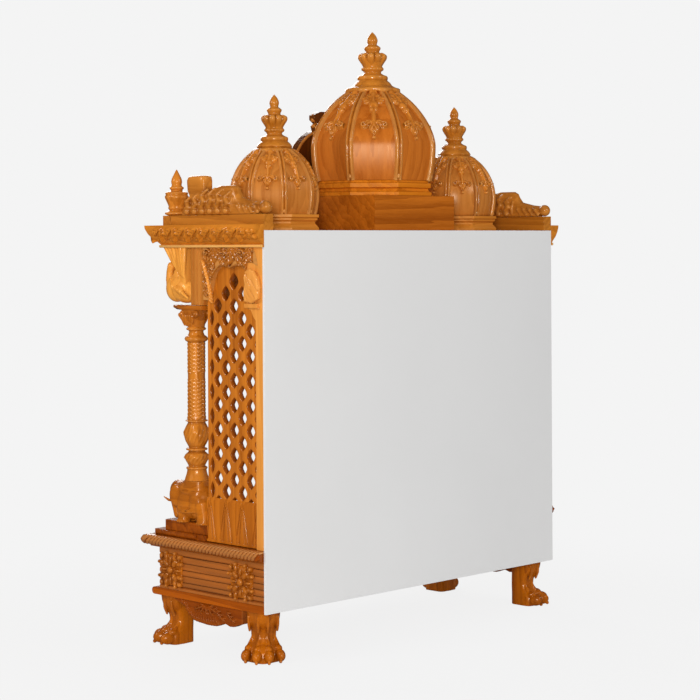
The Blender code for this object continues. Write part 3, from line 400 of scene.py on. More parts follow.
paw_wood = teak("paw_teak", (0.562, 0.145, 0.0018), (0.270, 0.058, 0.0018), "Z", depth=0.9, edge_highlight=0.25,
                reach=0.012)
half_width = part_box("back_panel")[1].x
knee_z = floor_lift - 0.0003
for end, sy in (("rear", 1), ("front", -1)):
    low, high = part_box(f"foot_{end}_right")
    bm = bmesh.new()
    heel = Vector((low.x - 0.0005, (low.y if sy > 0 else high.y) - 0.0005 * sy, 0))
    out = Vector((1, sy, 0))
    ahead = out.normalized()
    aside = Vector((-ahead.y, ahead.x, 0))
    levels = (
        (0.0, 0.0690, 0.42), (0.014, 0.0690, 0.42), (0.026, 0.0670, 0.44), (0.036, 0.0610, 0.48),
        (0.046, 0.0530, 0.52), (0.056, 0.0500, 0.55), (0.068, 0.0510, 0.54), (0.080, 0.0555, 0.52),
        (0.092, 0.0615, 0.48), (0.104, 0.0640, 0.44), (0.113, 0.0645, 0.40), (knee_z, 0.0645, 0.36),
    )
    stack(bm, [(height, heel + out * size / 2, (size / 2, size / 2), power)
               for height, size, power in levels], 32)

    def paw(along, across, height):
        return heel + ahead * along + aside * across + Vector((0, 0, height))

    facing = math.atan2(sy, 1)
    for across, tip, fan in ((-0.0385, 0.0740, -0.46), (-0.0140, 0.0935, -0.14), (0.0140, 0.0935, 0.14),
                             (0.0385, 0.0740, 0.46)):
        lump(bm, paw(tip - 0.0085, across, 0.0160), (0.0205, 0.0122, 0.0152), (0, 0, facing + fan), 12)
        lump(bm, paw(tip - 0.0210, across * 0.86, 0.0300), (0.0150, 0.0106, 0.0100), (0, 0, facing + fan),
             10)
        limb(bm, [paw(tip - 0.0240, across * 0.84, 0.0330), paw(tip - 0.0330, across * 0.70, 0.0500),
                  paw(tip - 0.0330, across * 0.62, 0.0640)], (0.0085, 0.0050, 0.0022), 10)
        lump(bm, paw(tip + 0.0078, across * 1.07, 0.0050), (0.0048, 0.0042, 0.0048), (0, 0, facing + fan), 7)
    for across, along in ((-0.0320, 0.0560), (-0.0110, 0.0755), (0.0110, 0.0755), (0.0320, 0.0560)):
        limb(bm, [paw(along - 0.0050, across * 1.02, 0.0720), paw(along, across * 1.05, 0.0880),
                  paw(along + 0.0020, across * 1.10, 0.1060)], (0.0030, 0.0046, 0.0030), 8)
    saw_off(bm, (0, 0, 0.0), (0, 0, -1))
    foot = one_skin(f"paw_{end}_right", bm, paw_wood, cut=0.0014, rub=2)
    show_pair(foot, f"foot_{end}_right", slot="teak_dark")

# Aprons
# Boards between the feet, sawn to a scroll. Their faces are carved with a fan of leaves, and their lower
# edge with short slanting flutes.
apron_wood = teak("apron_teak", (0.299, 0.058, 0.0018), (0.137, 0.021, 0.0018), "Y", depth=0.9, edge_highlight=0.22,
                  reach=0.010, coat=0.12)
apron_front_wood = teak("front_apron_teak", (0.315, 0.068, 0.0018), (0.144, 0.025, 0.0018), "X", depth=0.9,
                        edge_highlight=0.22, reach=0.010, coat=0.12)


def join_in(bm, added):
    """Adds one block of carving to another."""
    held = bpy.data.meshes.new("held")
    added.to_mesh(held)
    added.free()
    bm.from_mesh(held)
    bpy.data.meshes.remove(held)


def copy_of(bm, node):
    """Adds a plain solid to the block that is being carved."""
    added = bmesh.new()
    added.from_mesh(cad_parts[node].data)
    bmesh.ops.remove_doubles(added, verts=added.verts, dist=0.00002)
    bmesh.ops.recalc_face_normals(added, faces=added.faces)
    join_in(bm, added)


def leaf(bm, root, tip, width, thick, out):
    """A carved leaf laid on a face: a swollen rib with three pairs of lobes that shrink towards its tip."""
    lobes = 3
    root = Vector(root)
    tip = Vector(tip)
    out = Vector(out).normalized()
    run = tip - root
    across = out.cross(run).normalized()
    frame_of = Matrix((run.normalized(), across, out)).transposed().to_4x4()

    def pad(at, radii, turn):
        made = bmesh.ops.create_uvsphere(bm, u_segments=12, v_segments=8, radius=1)
        grow = Matrix.Translation(at) @ frame_of @ Matrix.Rotation(turn, 4,
                                                                   "Z") @ Matrix.Diagonal((*radii, 1))
        bmesh.ops.transform(bm, matrix=grow, verts=made["verts"])

    length = run.length
    pad(root + run * 0.5, (length * 0.52, width * 0.13, thick * 1.05), 0)
    for k in range(lobes):
        share = (k + 0.7) / (lobes + 0.5)
        size = 1 - 0.55 * share
        for hand in (-1, 1):
            at = root + run * share + across * hand * width * 0.21 * size
            pad(at, (length * 0.62 / lobes, width * 0.17 * size, thick * (0.85 - 0.3 * share)), hand * 0.62)


low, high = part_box("apron_right")
face_x = high.x
low_y = low.y
high_y = high.y
top_z = high.z
drop = high.z - low.z


def scroll_edge(share):
    """How far the apron's lower edge hangs below its top, along its length."""
    points = ((0.0, 0.0), (0.10, 0.23), (0.17, 0.37), (0.22, 0.69), (0.29, 0.92), (0.50, 1.0), (0.585, 0.98),
              (0.71, 0.79), (0.755, 0.89), (0.88, 0.73), (1.0, 0.40))
    return float(np.interp(share, [p[0] for p in points], [p[1] for p in points])) * drop


LEAF_STANDS = 0.0066


def carve_apron(bm, start, end, at, out, flip):
    """Leaves and edge flutes between two shares of an apron's length."""
    for k in range(15):
        share = 0.13 + 0.036 * k
        along = start + (end - start) * share
        low = top_z - scroll_edge(share)
        lean = 0.008 * flip
        limb(bm, [at(along - lean * 0.4, low + 0.017), at(along, low + 0.009),
                  at(along + lean, low + 0.0035)], (0.0018, 0.0042, 0.0038), 8)
    middle = start + (end - start) * 0.50
    for angle, reach, wide in ((-1.15, 0.052, 0.020), (-0.65, 0.040, 0.018), (0.0, 0.034, 0.018),
                               (0.65, 0.040, 0.018), (1.15, 0.052, 0.020)):
        root = at(middle + 0.006 * math.sin(angle), top_z - 0.005)
        tip = at(middle + reach * math.sin(angle), top_z - 0.008 - reach * 0.62 * math.cos(angle))
        leaf(bm, root, tip, wide, LEAF_STANDS, out)
    for share, wide in ((0.70, 0.020), (0.85, 0.018)):
        along = start + (end - start) * share
        leaf(bm, at(along - 0.016 * flip, top_z - 0.010),
             at(along + 0.014 * flip, top_z - scroll_edge(share) + 0.006), wide, LEAF_STANDS, out)


bm = bmesh.new()
copy_of(bm, "apron_right")
carve_apron(bm, low_y, high_y, lambda y, z: (face_x, y, z), (1, 0, 0), 1)
apron = one_skin("scrolled_apron_right", bm, apron_wood, cut=0.0013, rub=1)
show_pair(apron, "apron_right", slot="teak_dark")
bm = bmesh.new()
copy_of(bm, "apron_front")
front_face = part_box("apron_front")[0].y
front_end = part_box("apron_front")[1].x
carve_apron(bm, -front_end, 0, lambda x, z: (x, front_face, z), (0, -1, 0), 1)
carve_apron(bm, front_end, 0, lambda x, z: (x, front_face, z), (0, -1, 0), -1)
show(one_skin("scrolled_apron_front", bm, apron_front_wood, cut=0.0020, rub=1), "apron_front",
     slot="teak_dark")

# Base box
# Teak boards with a field of five long reeds between square blocks. Each block holds a rosette of four
# scrolled leaves round a boss. The bottom board runs out under the front as a rounded lip.
base_tones = ((0.440, 0.092, 0.0012), (0.200, 0.034, 0.0012))
side_wood = teak("base_side_teak", *base_tones, "Y", depth=0.9, edge_highlight=0.12, reach=0.008, coat=0.12)
front_wood = teak("base_front_teak", *base_tones, "X", depth=0.9, edge_highlight=0.12, reach=0.008, coat=0.12)
rosette_wood = teak("rosette_teak", (0.501, 0.136, 0.0046), (0.232, 0.050, 0.0018), "Z", depth=0.95,
                    edge_highlight=0.30, reach=0.010)
bottom_wood = teak("bottom_teak", *base_tones, "Y", edge=0.0015, coat=0.12)
REED_LINES = (0.0286, 0.040, 0.056, 0.070, 0.0866, 0.103)
PLANK_THICK = 0.022
base_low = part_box("base_side_right")[0].z
base_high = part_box("base_side_right")[1].z


def reeded_plank(name, length, wood, place):
    """A board drawn along its moulded section: flat rails, and five reeds between fine grooves."""
    section = [(0.0, base_low), (0.0215, base_low), (0.0220, base_low + 0.001)]
    first = floor_lift + REED_LINES[0]
    section += [(0.0220, first - 0.0035), (0.0208, first - 0.003), (0.0208, first - 0.0016), (0.0185, first)]
    for low, high in zip(REED_LINES, REED_LINES[1:]):
        for k in range(1, 8):
            angle = math.pi * k / 8
            section.append((0.0172 + 0.0048 * math.sin(angle) ** 0.7,
                            floor_lift + low + (high - low) * (1 - math.cos(angle)) / 2))
        section.append((0.0172, floor_lift + high))
    last = floor_lift + REED_LINES[-1]
    section += [(0.0208, last + 0.0016), (0.0208, last + 0.003), (0.0220, last + 0.0035),
                (0.0220, base_high), (0.0, base_high)]
    bm = bmesh.new()
    ring = [bm.verts.new((-length / 2, -out, level)) for out, level in section]
    bm.faces.new(ring)
    planed = bmesh.ops.extrude_face_region(bm, geom=bm.faces[:])
    moved = [item for item in planed["geom"] if isinstance(item, bmesh.types.BMVert)]
    bmesh.ops.translate(bm, vec=(length, 0, 0), verts=moved)
    bmesh.ops.recalc_face_normals(bm, faces=bm.faces)
    bmesh.ops.transform(bm, matrix=place, verts=bm.verts)
    return new_piece(name, bm, wood, smooth=28)


low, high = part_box("base_side_right")
side_place = Matrix.Translation((half_width - PLANK_THICK, (low.y + high.y) / 2, 0))
side_place = side_place @ Matrix.Rotation(math.pi / 2, 4, "Z")
plank = reeded_plank("reeded_side_right", high.y - low.y, side_wood, side_place)
show_pair(plank, "base_side_right")
low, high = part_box("base_front")
front_place = Matrix.Translation((0, low.y + 0.006 + PLANK_THICK, 0))
show(reeded_plank("reeded_front", high.x - low.x, front_wood, front_place), "base_front")


def rosette(bm, place, size):
    """A thin square ground with four scrolled leaves to its corners, four buds between, and a boss."""

    def knob(across, height, sizes, turn=0.0, steps=8):
        lump(added, across + Vector((0, 0, height)), (size * sizes[0], size * sizes[1], sizes[2]),
             (0, 0, turn), steps)

    added = bmesh.new()
    made = bmesh.ops.create_cube(added, size=1)["verts"]
    bmesh.ops.scale(added, vec=(size * 0.94, size * 0.94, 0.0050), verts=made)
    for k in range(4):
        angle = math.pi / 4 + k * math.pi / 2
        ray = Vector((math.cos(angle), math.sin(angle), 0))
        wide = Vector((-ray.y, ray.x, 0))
        knob(ray * size * 0.29, 0.0040, (0.150, 0.085, 0.0085), angle, 9)
        for hand in (-1, 1):
            knob(ray * size * 0.42 + wide * hand * size * 0.135, 0.0035, (0.125, 0.070, 0.0070),
                 angle + hand * 0.55)
            knob(ray * size * 0.50 + wide * hand * size * 0.205, 0.0050, (0.060, 0.060, 0.0066), steps=7)
        knob(ray * size * 0.575, 0.0042, (0.080, 0.070, 0.0075), angle)
        cross = angle + math.pi / 4
        stem = Vector((math.cos(cross), math.sin(cross), 0))
        knob(stem * size * 0.31, 0.0030, (0.120, 0.045, 0.0060), cross, 7)
    knob(Vector((0, 0, 0)), 0.0050, (0.120, 0.120, 0.0092), steps=9)
    bmesh.ops.transform(added, matrix=place, verts=added.verts)
    join_in(bm, added)


block_z = floor_lift + (REED_LINES[0] + REED_LINES[-1]) / 2 + 0.002
block = REED_LINES[-1] - REED_LINES[0] + 0.007
outward = Matrix(((0, 0, 1), (1, 0, 0), (0, 1, 0))).to_4x4()
bm = bmesh.new()
for y in (back_y - 0.3360, back_y - 0.0825):
    rosette(bm, Matrix.Translation((half_width - 0.0005, y, block_z)) @ outward, block)
carving = one_skin("rosettes_right", bm, rosette_wood, cut=0.0012, rub=1)
show_pair(carving)
forward = Matrix(((1, 0, 0), (0, 0, -1), (0, 1, 0))).to_4x4()
front_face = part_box("base_front")[0].y + 0.006
bm = bmesh.new()
rosette(bm, Matrix.Translation((0.466, front_face + 0.0005, block_z)) @ forward, block)
carving = one_skin("rosette_front_right", bm, rosette_wood, cut=0.0012, rub=1)
show_pair(carving)
paint_nodes(bottom_wood, "base_bottom")

# Deck and rope moulding
# A thick deck board closes the base. A half-round moulding is planted on its three outer edges and carved
# all along with slanting strands, like a rope.
deck_wood = teak("deck_teak", (0.416, 0.095, 0.0021), (0.200, 0.038, 0.0018), "X", edge=0.0012)
rope_wood = teak("rope_teak", (0.420, 0.080, 0.0012), (0.180, 0.028, 0.0012), "Y", depth=1.0, edge_highlight=0.25,
                 reach=0.007, coat=0.25)
paint_nodes(deck_wood, "deck_board")


def bent_bar(bm, path, radii, sides=6):
    """A thin bar bent through a few points: a ring drawn along them and closed at both ends."""
    last = None
    for k, (point, radius) in enumerate(zip(path, radii)):
        run = Vector(path[min(k + 1, len(path) - 1)]) - Vector(path[max(k - 1, 0)])
        place = Matrix.Translation(point) @ run.to_track_quat("Z", "Y").to_matrix().to_4x4()
        place = place @ Matrix.Scale(radius, 4)
        if last is None:
            ring = bmesh.ops.create_circle(bm, segments=sides, radius=1, matrix=place)["verts"]
            edges = list({edge for corner in ring for edge in corner.link_edges})
            bmesh.ops.contextual_create(bm, geom=edges)
        else:
            grown = bmesh.ops.extrude_edge_only(bm, edges=edges)["geom"]
            edges = [item for item in grown if isinstance(item, bmesh.types.BMEdge)]
            moved = [item for item in grown if isinstance(item, bmesh.types.BMVert)]
            bmesh.ops.transform(bm, matrix=place @ last.inverted(), verts=moved)
            edges = [edge for edge in edges if edge.verts[0] in moved and edge.verts[1] in moved]
        last = place
    bmesh.ops.contextual_create(bm, geom=edges)


low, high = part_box("rope_moulding")
rope_reach = high.x - half_width
rope_middle = (low.z + high.z) / 2
rope_high = (high.z - low.z) / 2
bm = bmesh.new()
path = []
slant = 0.0185
for k in range(6):
    angle = math.radians(-78 + 156 * k / 5)
    path.append((rope_reach * 0.84 * math.cos(angle), slant * (k / 2.5 - 1),
                 rope_high * 0.84 * math.sin(angle)))
bent_bar(bm, path, (0.0024, 0.0044, 0.0054, 0.0054, 0.0044, 0.0024), 6)
bmesh.ops.recalc_face_normals(bm, faces=bm.faces)
strand = bpy.data.meshes.new("strand")
bm.to_mesh(strand)
bm.free()


def repeat(bm, shape, places):
    """Adds the same small shape at each place."""
    count = len(shape.vertices)
    for place in places:
        start = len(bm.verts)
        bm.from_mesh(shape)
        bm.verts.ensure_lookup_table()
        bmesh.ops.transform(bm, matrix=place, verts=bm.verts[start:start + count])


PITCH = 0.0124
rope_front = low.y + rope_reach
side_run = back_y - rope_front
first_strand = back_y - 0.0226
places = [Matrix.Translation((half_width, first_strand - PITCH * k, rope_middle))
          for k in range(int(side_run / PITCH) - 1)]
corner_place = Matrix.Translation((half_width, rope_front, rope_middle))
for k in range(1, 4):
    turn = Matrix.Rotation(-math.radians(22.5 * k), 4, "Z")
    turn = turn @ Matrix.Scale(1.0 + 0.22 * math.sin(math.pi * k / 4), 4, (1, 0, 0))
    places.append(corner_place @ turn)
quarter_turn = Matrix.Rotation(-math.pi / 2, 4, "Z")
places += [Matrix.Translation((PITCH * (k + 0.5), rope_front, rope_middle)) @ quarter_turn
           for k in range(int(half_width / PITCH))]
bm = bmesh.new()
repeat(bm, strand, places)
bent_bar(bm, [(half_width + x, back_y - 0.0102 + y, rope_middle + z) for x, y, z in path[:4]],
         (0.0024, 0.0044, 0.0050, 0.0030))
bent_bar(bm, [(0.0006, rope_front - x, rope_middle + z) for x, y, z in path],
         (0.0016, 0.0022, 0.0036, 0.0056, 0.0068, 0.0072))
rope = new_piece("rope_strands_right", bm, rope_wood, smooth=60)
show_pair(rope)
rope_core_wood = teak("rope_core_teak", (0.306, 0.062, 0.0018), (0.146, 0.025, 0.0018), "Y", edge=0.0015)
paint_nodes(rope_core_wood, "rope_moulding")

# Steps
# Two thin steps on the deck, run with a rounded nosing and a cove, in redder and darker teak.
step_wood = teak("step_teak", (0.416, 0.090, 0.0018), (0.198, 0.036, 0.0018), "X", edge=0.002)
paint_nodes(step_wood, "step_lower", "step_upper")
low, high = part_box("step_lower")
bm = bmesh.new()
for inset, level, radius in ((0.0, low.z + 0.0068, 0.0068), (0.010, high.z + 0.0205, 0.0052)):
    wide = high.x - inset
    front = low.y + inset * 3.2
    rear = -0.03
    bent_bar(bm, [(wide - radius * 0.3, rear, level), (wide - radius * 0.3, front + radius, level),
                  (wide - radius, front + radius * 0.3, level), (0, front + radius * 0.3, level)],
             (radius, radius, radius, radius), 14)
bmesh.ops.recalc_face_normals(bm, faces=bm.faces)
nosing = new_piece("step_nosing_right", bm, step_wood, smooth=50)
show_pair(nosing, slot="teak_dark")

# Elephants
# Each column stands on an elephant carved from one block: a heavy rounded rump, a fringed saddle-cloth, a
# straight trunk, short tusks and thick legs that come down over the edge of the steps.
elephant_wood = teak("elephant_teak", (0.567, 0.162, 0.0080), (0.293, 0.070, 0.0025), "Y", depth=0.8,
                     edge_highlight=0.22, reach=0.012, coat=0.5)


def blocks(x, rows):
    """Rings of a stack at x: height, distance from the back, half width, half depth and squareness."""
    return [(floor_lift + height, spot(x, y, 0), (wide, deep), power)
            for height, y, wide, deep, power in rows]


elephant_x = 0.506
bm = bmesh.new()
lump(bm, spot(elephant_x, -0.285, 0.240), (0.0370, 0.056, 0.0470), steps=14)
lump(bm, spot(elephant_x + 0.001, -0.250, 0.2375), (0.0365, 0.037, 0.0480), steps=14)
lump(bm, spot(elephant_x, -0.322, 0.250), (0.0310, 0.036, 0.0360), steps=12)
lump(bm, spot(elephant_x, -0.340, 0.259), (0.0220, 0.024, 0.0270), steps=12)
lump(bm, spot(elephant_x + 0.0005, -0.279, 0.268), (0.0375, 0.050, 0.0260), steps=14)
limb(bm, [spot(elephant_x, -0.352, 0.258), spot(elephant_x, -0.3545, 0.238), spot(elephant_x, -0.350, 0.214),
          spot(elephant_x, -0.347, 0.199)], (0.0150, 0.0128, 0.0098, 0.0085), 14)
for hand in (-1, 1):
    x = elephant_x + hand * 0.0150
    limb(bm, [spot(x, -0.345, 0.236), spot(x + hand * 0.001, -0.362, 0.2355),
              spot(x + hand * 0.002, -0.378, 0.242)], (0.0046, 0.0034, 0.0016), 10)
    ear = elephant_x + hand * 0.0310
    lump(bm, spot(ear - hand * 0.002, -0.318, 0.252), (0.0075, 0.0200, 0.0270), (0, 0, hand * 0.20), 10)
    side = elephant_x + hand * 0.0350
    for level, wide in ((0.2210, 0.0017), (0.2155, 0.0022)):
        limb(bm, [spot(side - hand * 0.003, -0.309, level),
                  spot(side + hand * 0.0010, -0.288, level - 0.0015),
                  spot(side + hand * 0.0012, -0.264, level),
                  spot(side - hand * 0.0015, -0.240, level + 0.003)], (wide, wide, wide, wide), 8)
    leg = elephant_x + hand * 0.0170
    limb(bm, [spot(leg, -0.304, 0.232), spot(leg, -0.302, 0.200), spot(leg + hand * 0.001, -0.302, 0.1895)],
         (0.0175, 0.0155, 0.0160), 16)
    limb(bm, [spot(leg, -0.236, 0.235), spot(leg, -0.229, 0.205), spot(leg + hand * 0.001, -0.229, 0.1905)],
         (0.0205, 0.0170, 0.0175), 16)
    for k in (-1, 0, 1):
        lump(bm, spot(leg + hand * 0.013, -0.302 + 0.008 * k, 0.1905), (0.0046, 0.0042, 0.0036), steps=6)
        lump(bm, spot(leg + hand * 0.014, -0.229 + 0.008 * k, 0.1905), (0.0046, 0.0042, 0.0036), steps=6)
limb(bm, [spot(elephant_x, -0.214, 0.262), spot(elephant_x, -0.2085, 0.240),
          spot(elephant_x, -0.2095, 0.214)], (0.0050, 0.0040, 0.0052), 8)
stack(bm, blocks(0.5120, ((0.268, -0.266, 0.030, 0.034, 0.8), (0.2915, -0.266, 0.0285, 0.0325, 0.8))), 28)
saw_off(bm, spot(0, 0, 0.1873), (0, 0, -1))
elephant = one_skin("carved_elephant_right", bm, elephant_wood, cut=0.00145, rub=3)
show_pair(elephant, "elephant_right", slot="teak_dark")

# Columns
# Turned on the lathe and then carved: two leafed bulbs below, and a long shaft cut with four bands of
# slanting leaflets. A leafy capital carries a thin abacus with a pointed front.
shaft_wood = teak("shaft_teak", (0.700, 0.232, 0.0210), (0.400, 0.110, 0.0060), "Z", depth=1.0, edge_highlight=0.25,
                  reach=0.008, shift=(0.03, 0, 0))
capital_wood = teak("capital_teak", (0.593, 0.176, 0.0131), (0.326, 0.080, 0.0038), "X", depth=0.9,
                    edge_highlight=0.25, reach=0.009)


def lathe(bm, profile, place, sides, cut):
    """Turned work with carving: radius and height pairs, each moved by cut(angle, height, radius)."""
    rings = []
    for radius, height in profile:
        ring = bmesh.ops.create_circle(bm, segments=sides, radius=max(radius, 0.0002))["verts"]
        for corner in ring:
            angle = math.atan2(corner.co.y, corner.co.x)
            grow, lift = cut(angle, height, radius)
            corner.co = (corner.co.x * grow, corner.co.y * grow, height + lift)
        rings.append(ring)
    for low, high in zip(rings, rings[1:]):
        edges = []
        for ring in (low, high):
            edges += {edge for corner in ring
                      for edge in corner.link_edges if edge.other_vert(corner) in ring}
        bmesh.ops.bridge_loops(bm, edges=edges)
    for ring in (rings[0], rings[-1]):
        bmesh.ops.contextual_create(bm, geom=ring)
    bmesh.ops.recalc_face_normals(bm, faces=bm.faces)
    bmesh.ops.translate(bm, vec=place, verts=bm.verts)


def drawn(points, spacing):
    """The same profile with its long straight runs and its curves divided evenly."""
    found = [points[0]]
    for (r0, h0), (r1, h1) in zip(points, points[1:]):
        count = max(1, int(round(math.hypot(r1 - r0, h1 - h0) / spacing)))
        found += [(r0 + (r1 - r0) * k / count, h0 + (h1 - h0) * k / count) for k in range(1, count + 1)]
    return found


def rounded(points):
    """A turner's flowing line through the given points."""
    found = [points[0]]
    for (r0, h0), (r1, h1) in zip(points, points[1:]):
        found += [(0.8 * r0 + 0.2 * r1, 0.8 * h0 + 0.2 * h1), (0.2 * r0 + 0.8 * r1, 0.2 * h0 + 0.8 * h1)]
    return found + [points[-1]]


def column_carving(angle, z, radius):
    """The leaflets of the shaft, the leaves of its two bulbs, and the scallops of its foot."""
    band = (angle - math.pi / 4) % (math.pi / 2) - math.pi / 4
    grow = 1.0
    if 0.4385 < z < 0.6265 and not 0.537 < z < 0.551:
        barb = (z + abs(band) * 0.0165) / 0.0094
        across = math.cos(2 * band) ** 2
        leaflet = 0.115 * (0.5 + 0.5 * math.cos(2 * math.pi * barb)) * min(1.0, across * 2.2)
        grow += leaflet * min(1.0, abs(band) * 9)
        grow -= 0.035 * math.exp(-((abs(band) - math.pi / 4) / 0.07) ** 2)
        grow -= 0.030 * math.exp(-(band / 0.045) ** 2)
    elif 0.3705 < z < 0.4325 or 0.3265 < z < 0.3600:
        low, high = (0.3705, 0.4325) if z > 0.365 else (0.3265, 0.3600)
        rise = math.sin(math.pi * (z - low) / (high - low))
        bearing = angle - math.pi / 4
        lobe = abs(math.cos(2 * bearing))
        vein = math.cos(16 * bearing + 5.0 * math.cos(math.pi * (z - low) / (high - low)))
        twist = math.cos(4 * bearing) * math.cos(3 * math.pi * (z - low) / (high - low))
        grow += rise * (0.100 * lobe ** 0.6 + 0.045 * vein + 0.060 * twist - 0.04)
    elif 0.293 < z < 0.3175:
        grow += 0.020 * abs(math.cos(6 * angle)) * math.sin(math.pi * (z - 0.293) / 0.0245)
    return grow, 0.0


column_line = [(0.0300, 0.2919), (0.0292, 0.2945), (0.0245, 0.3080), (0.0232, 0.3180), (0.0250, 0.3190),
               (0.0262, 0.3210), (0.0250, 0.3235), (0.0200, 0.3260), (0.0208, 0.3300), (0.0262, 0.3400),
               (0.0282, 0.3480), (0.0262, 0.3550), (0.0205, 0.3605), (0.0200, 0.3635), (0.0258, 0.3650),
               (0.0262, 0.3675), (0.0240, 0.3695), (0.0190, 0.3710), (0.0205, 0.3760), (0.0270, 0.3880),
               (0.0292, 0.3990), (0.0285, 0.4100), (0.0248, 0.4240), (0.0215, 0.4310), (0.0215, 0.4335),
               (0.0272, 0.4350), (0.0268, 0.4375), (0.0212, 0.4390), (0.0210, 0.5200), (0.0210, 0.6260),
               (0.0215, 0.6275), (0.0262, 0.6300), (0.0290, 0.6350), (0.0262, 0.6400), (0.0200, 0.6440),
               (0.0176, 0.6500), (0.0176, 0.6545), (0.0235, 0.6570), (0.0245, 0.6592), (0.0228, 0.6615),
               (0.0200, 0.6640), (0.0200, 0.6680)]
column_x = 0.5125
column_spot = spot(column_x, -0.266, 0)
bm = bmesh.new()
lathe(bm, drawn(rounded(column_line), 0.00155), column_spot, 64, column_carving)
column = new_piece("carved_column_right", bm, shaft_wood, smooth=60)
show_pair(column, "column_right")

bm = bmesh.new()
stack(bm, blocks(column_x, ((0.6640, -0.266, 0.0200, 0.0205, 0.9), (0.6740, -0.267, 0.0205, 0.0220, 0.8),
                            (0.6880, -0.270, 0.0215, 0.0270, 0.6), (0.7050, -0.272, 0.0225, 0.0320, 0.5))),
      32)
for hand in (-1, 1):
    for y in (-0.295, -0.246):
        scroll = spot(column_x + hand * 0.0185, y, 0.6960)
        lump(bm, scroll, (0.0062, 0.0082, 0.0082), steps=9)
        lump(bm, scroll + Vector((hand * 0.003, 0, 0)), (0.0058, 0.0042, 0.0042), steps=7)
        limb(bm, [spot(column_x + hand * 0.0180, -0.2700, 0.6690),
                  spot(column_x + hand * 0.0200, (y - 0.2700) / 2, 0.6790),
                  spot(column_x + hand * 0.0205, y * 0.75 - 0.2700 * 0.25, 0.6890)],
             (0.0030, 0.0042, 0.0034), 9)
    for k in range(5):
        y = -0.2705 + (k - 2) * 0.0082
        limb(bm, [spot(column_x + hand * 0.0195, y * 0.6 - 0.2700 * 0.4, 0.6670),
                  spot(column_x + hand * 0.0215, y, 0.6800), spot(column_x + hand * 0.0228, y, 0.6900)],
             (0.0020, 0.0034, 0.0046), 8)
for k in range(5):
    x = column_x + (k - 2) * 0.0090
    limb(bm, [spot(x, -0.2880, 0.6690), spot(x, -0.2950, 0.6820), spot(x, -0.3050, 0.6930)],
         (0.0026, 0.0042, 0.0054), 9)
capital = one_skin("leafy_capital_right", bm, capital_wood, cut=0.0012, rub=1)
show_pair(capital)


def join_rings(bm, rings):
    """Walls between rings of corners, and a face over each end."""
    bm.faces.new(rings[0])
    bm.faces.new(rings[-1])
    for low_ring, high_ring in zip(rings, rings[1:]):
        for k in range(len(low_ring)):
            nxt = (k + 1) % len(low_ring)
            bm.faces.new((low_ring[k], low_ring[nxt], high_ring[nxt], high_ring[k]))


bm = bmesh.new()
plate = [(-0.0235, 0.0055), (0.0235, 0.0055), (0.0235, 0.0255), (0.0250, 0.0500), (0.0130, 0.0640),
         (0.0, 0.0780), (-0.0130, 0.0640), (-0.0250, 0.0500), (-0.0235, 0.0255)]
rings = []
for inset, level in ((0.90, 0.7050), (0.97, 0.7085), (1.0, 0.7105), (1.0, 0.7145), (0.97, 0.7165)):
    rings.append([bm.verts.new(spot(0.5115 + x * inset * 1.08, -0.2180 - (y - 0.0055) * inset * 1.86, level))
                  for x, y in plate])
join_rings(bm, rings)
bmesh.ops.recalc_face_normals(bm, faces=bm.faces)
plate_wood = teak("abacus_teak", (0.515, 0.142, 0.0087), (0.253, 0.057, 0.0026), "Y", edge=0.0015)
abacus = new_piece("abacus_right", bm, plate_wood, smooth=40)
show_pair(abacus)

# Posts and peacocks
# A square reeded post stands on each capital. In front of it a peacock carved from paler wood spreads its
# fluted tail up to the cornice, with its head and breast forward.
post_wood = teak("post_teak", (0.590, 0.209, 0.0302), (0.340, 0.098, 0.0084), "Z", edge=0.0012,
                 shift=(0.02, 0.01, 0))
paint_nodes(post_wood, "post_right", "post_left")
peacock_wood = teak("peacock_teak", (0.979, 0.426, 0.0678), (0.668, 0.242, 0.0287), "Z", depth=0.85,
                    edge_highlight=0.15, reach=0.009, shift=(0, 0.04, 0))
bird_x = (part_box("peacock_right")[0].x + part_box("peacock_right")[1].x) / 2
bm = bmesh.new()
lump(bm, spot(bird_x, -0.3150, 0.7560), (0.0240, 0.0540, 0.0320), (-0.35, 0, 0), 16)
lump(bm, spot(bird_x, -0.3350, 0.7560), (0.0225, 0.0330, 0.0330), steps=14)
lump(bm, spot(bird_x, -0.3270, 0.7860), (0.0130, 0.0170, 0.0230), steps=12)
limb(bm, [spot(bird_x, -0.3540, 0.8110), spot(bird_x, -0.3575, 0.7960), spot(bird_x, -0.3550, 0.7780),
          spot(bird_x, -0.3450, 0.7600)], (0.0115, 0.0120, 0.0150, 0.0210), 16)
limb(bm, [spot(bird_x, -0.3560, 0.8060), spot(bird_x, -0.3670, 0.8030), spot(bird_x, -0.3690, 0.7950)],
     (0.0060, 0.0042, 0.0020), 8)
fan = [(-0.3100, 0.7500), (-0.2850, 0.7350), (-0.2850, 0.8620), (-0.3620, 0.8620), (-0.3200, 0.8240),
       (-0.3120, 0.7900)]
fan_rings = [[bm.verts.new(spot(bird_x + side, y, z)) for y, z in fan] for side in (-0.0170, 0.0170)]
join_rings(bm, fan_rings)
bmesh.ops.recalc_face_normals(bm, faces=bm.faces)
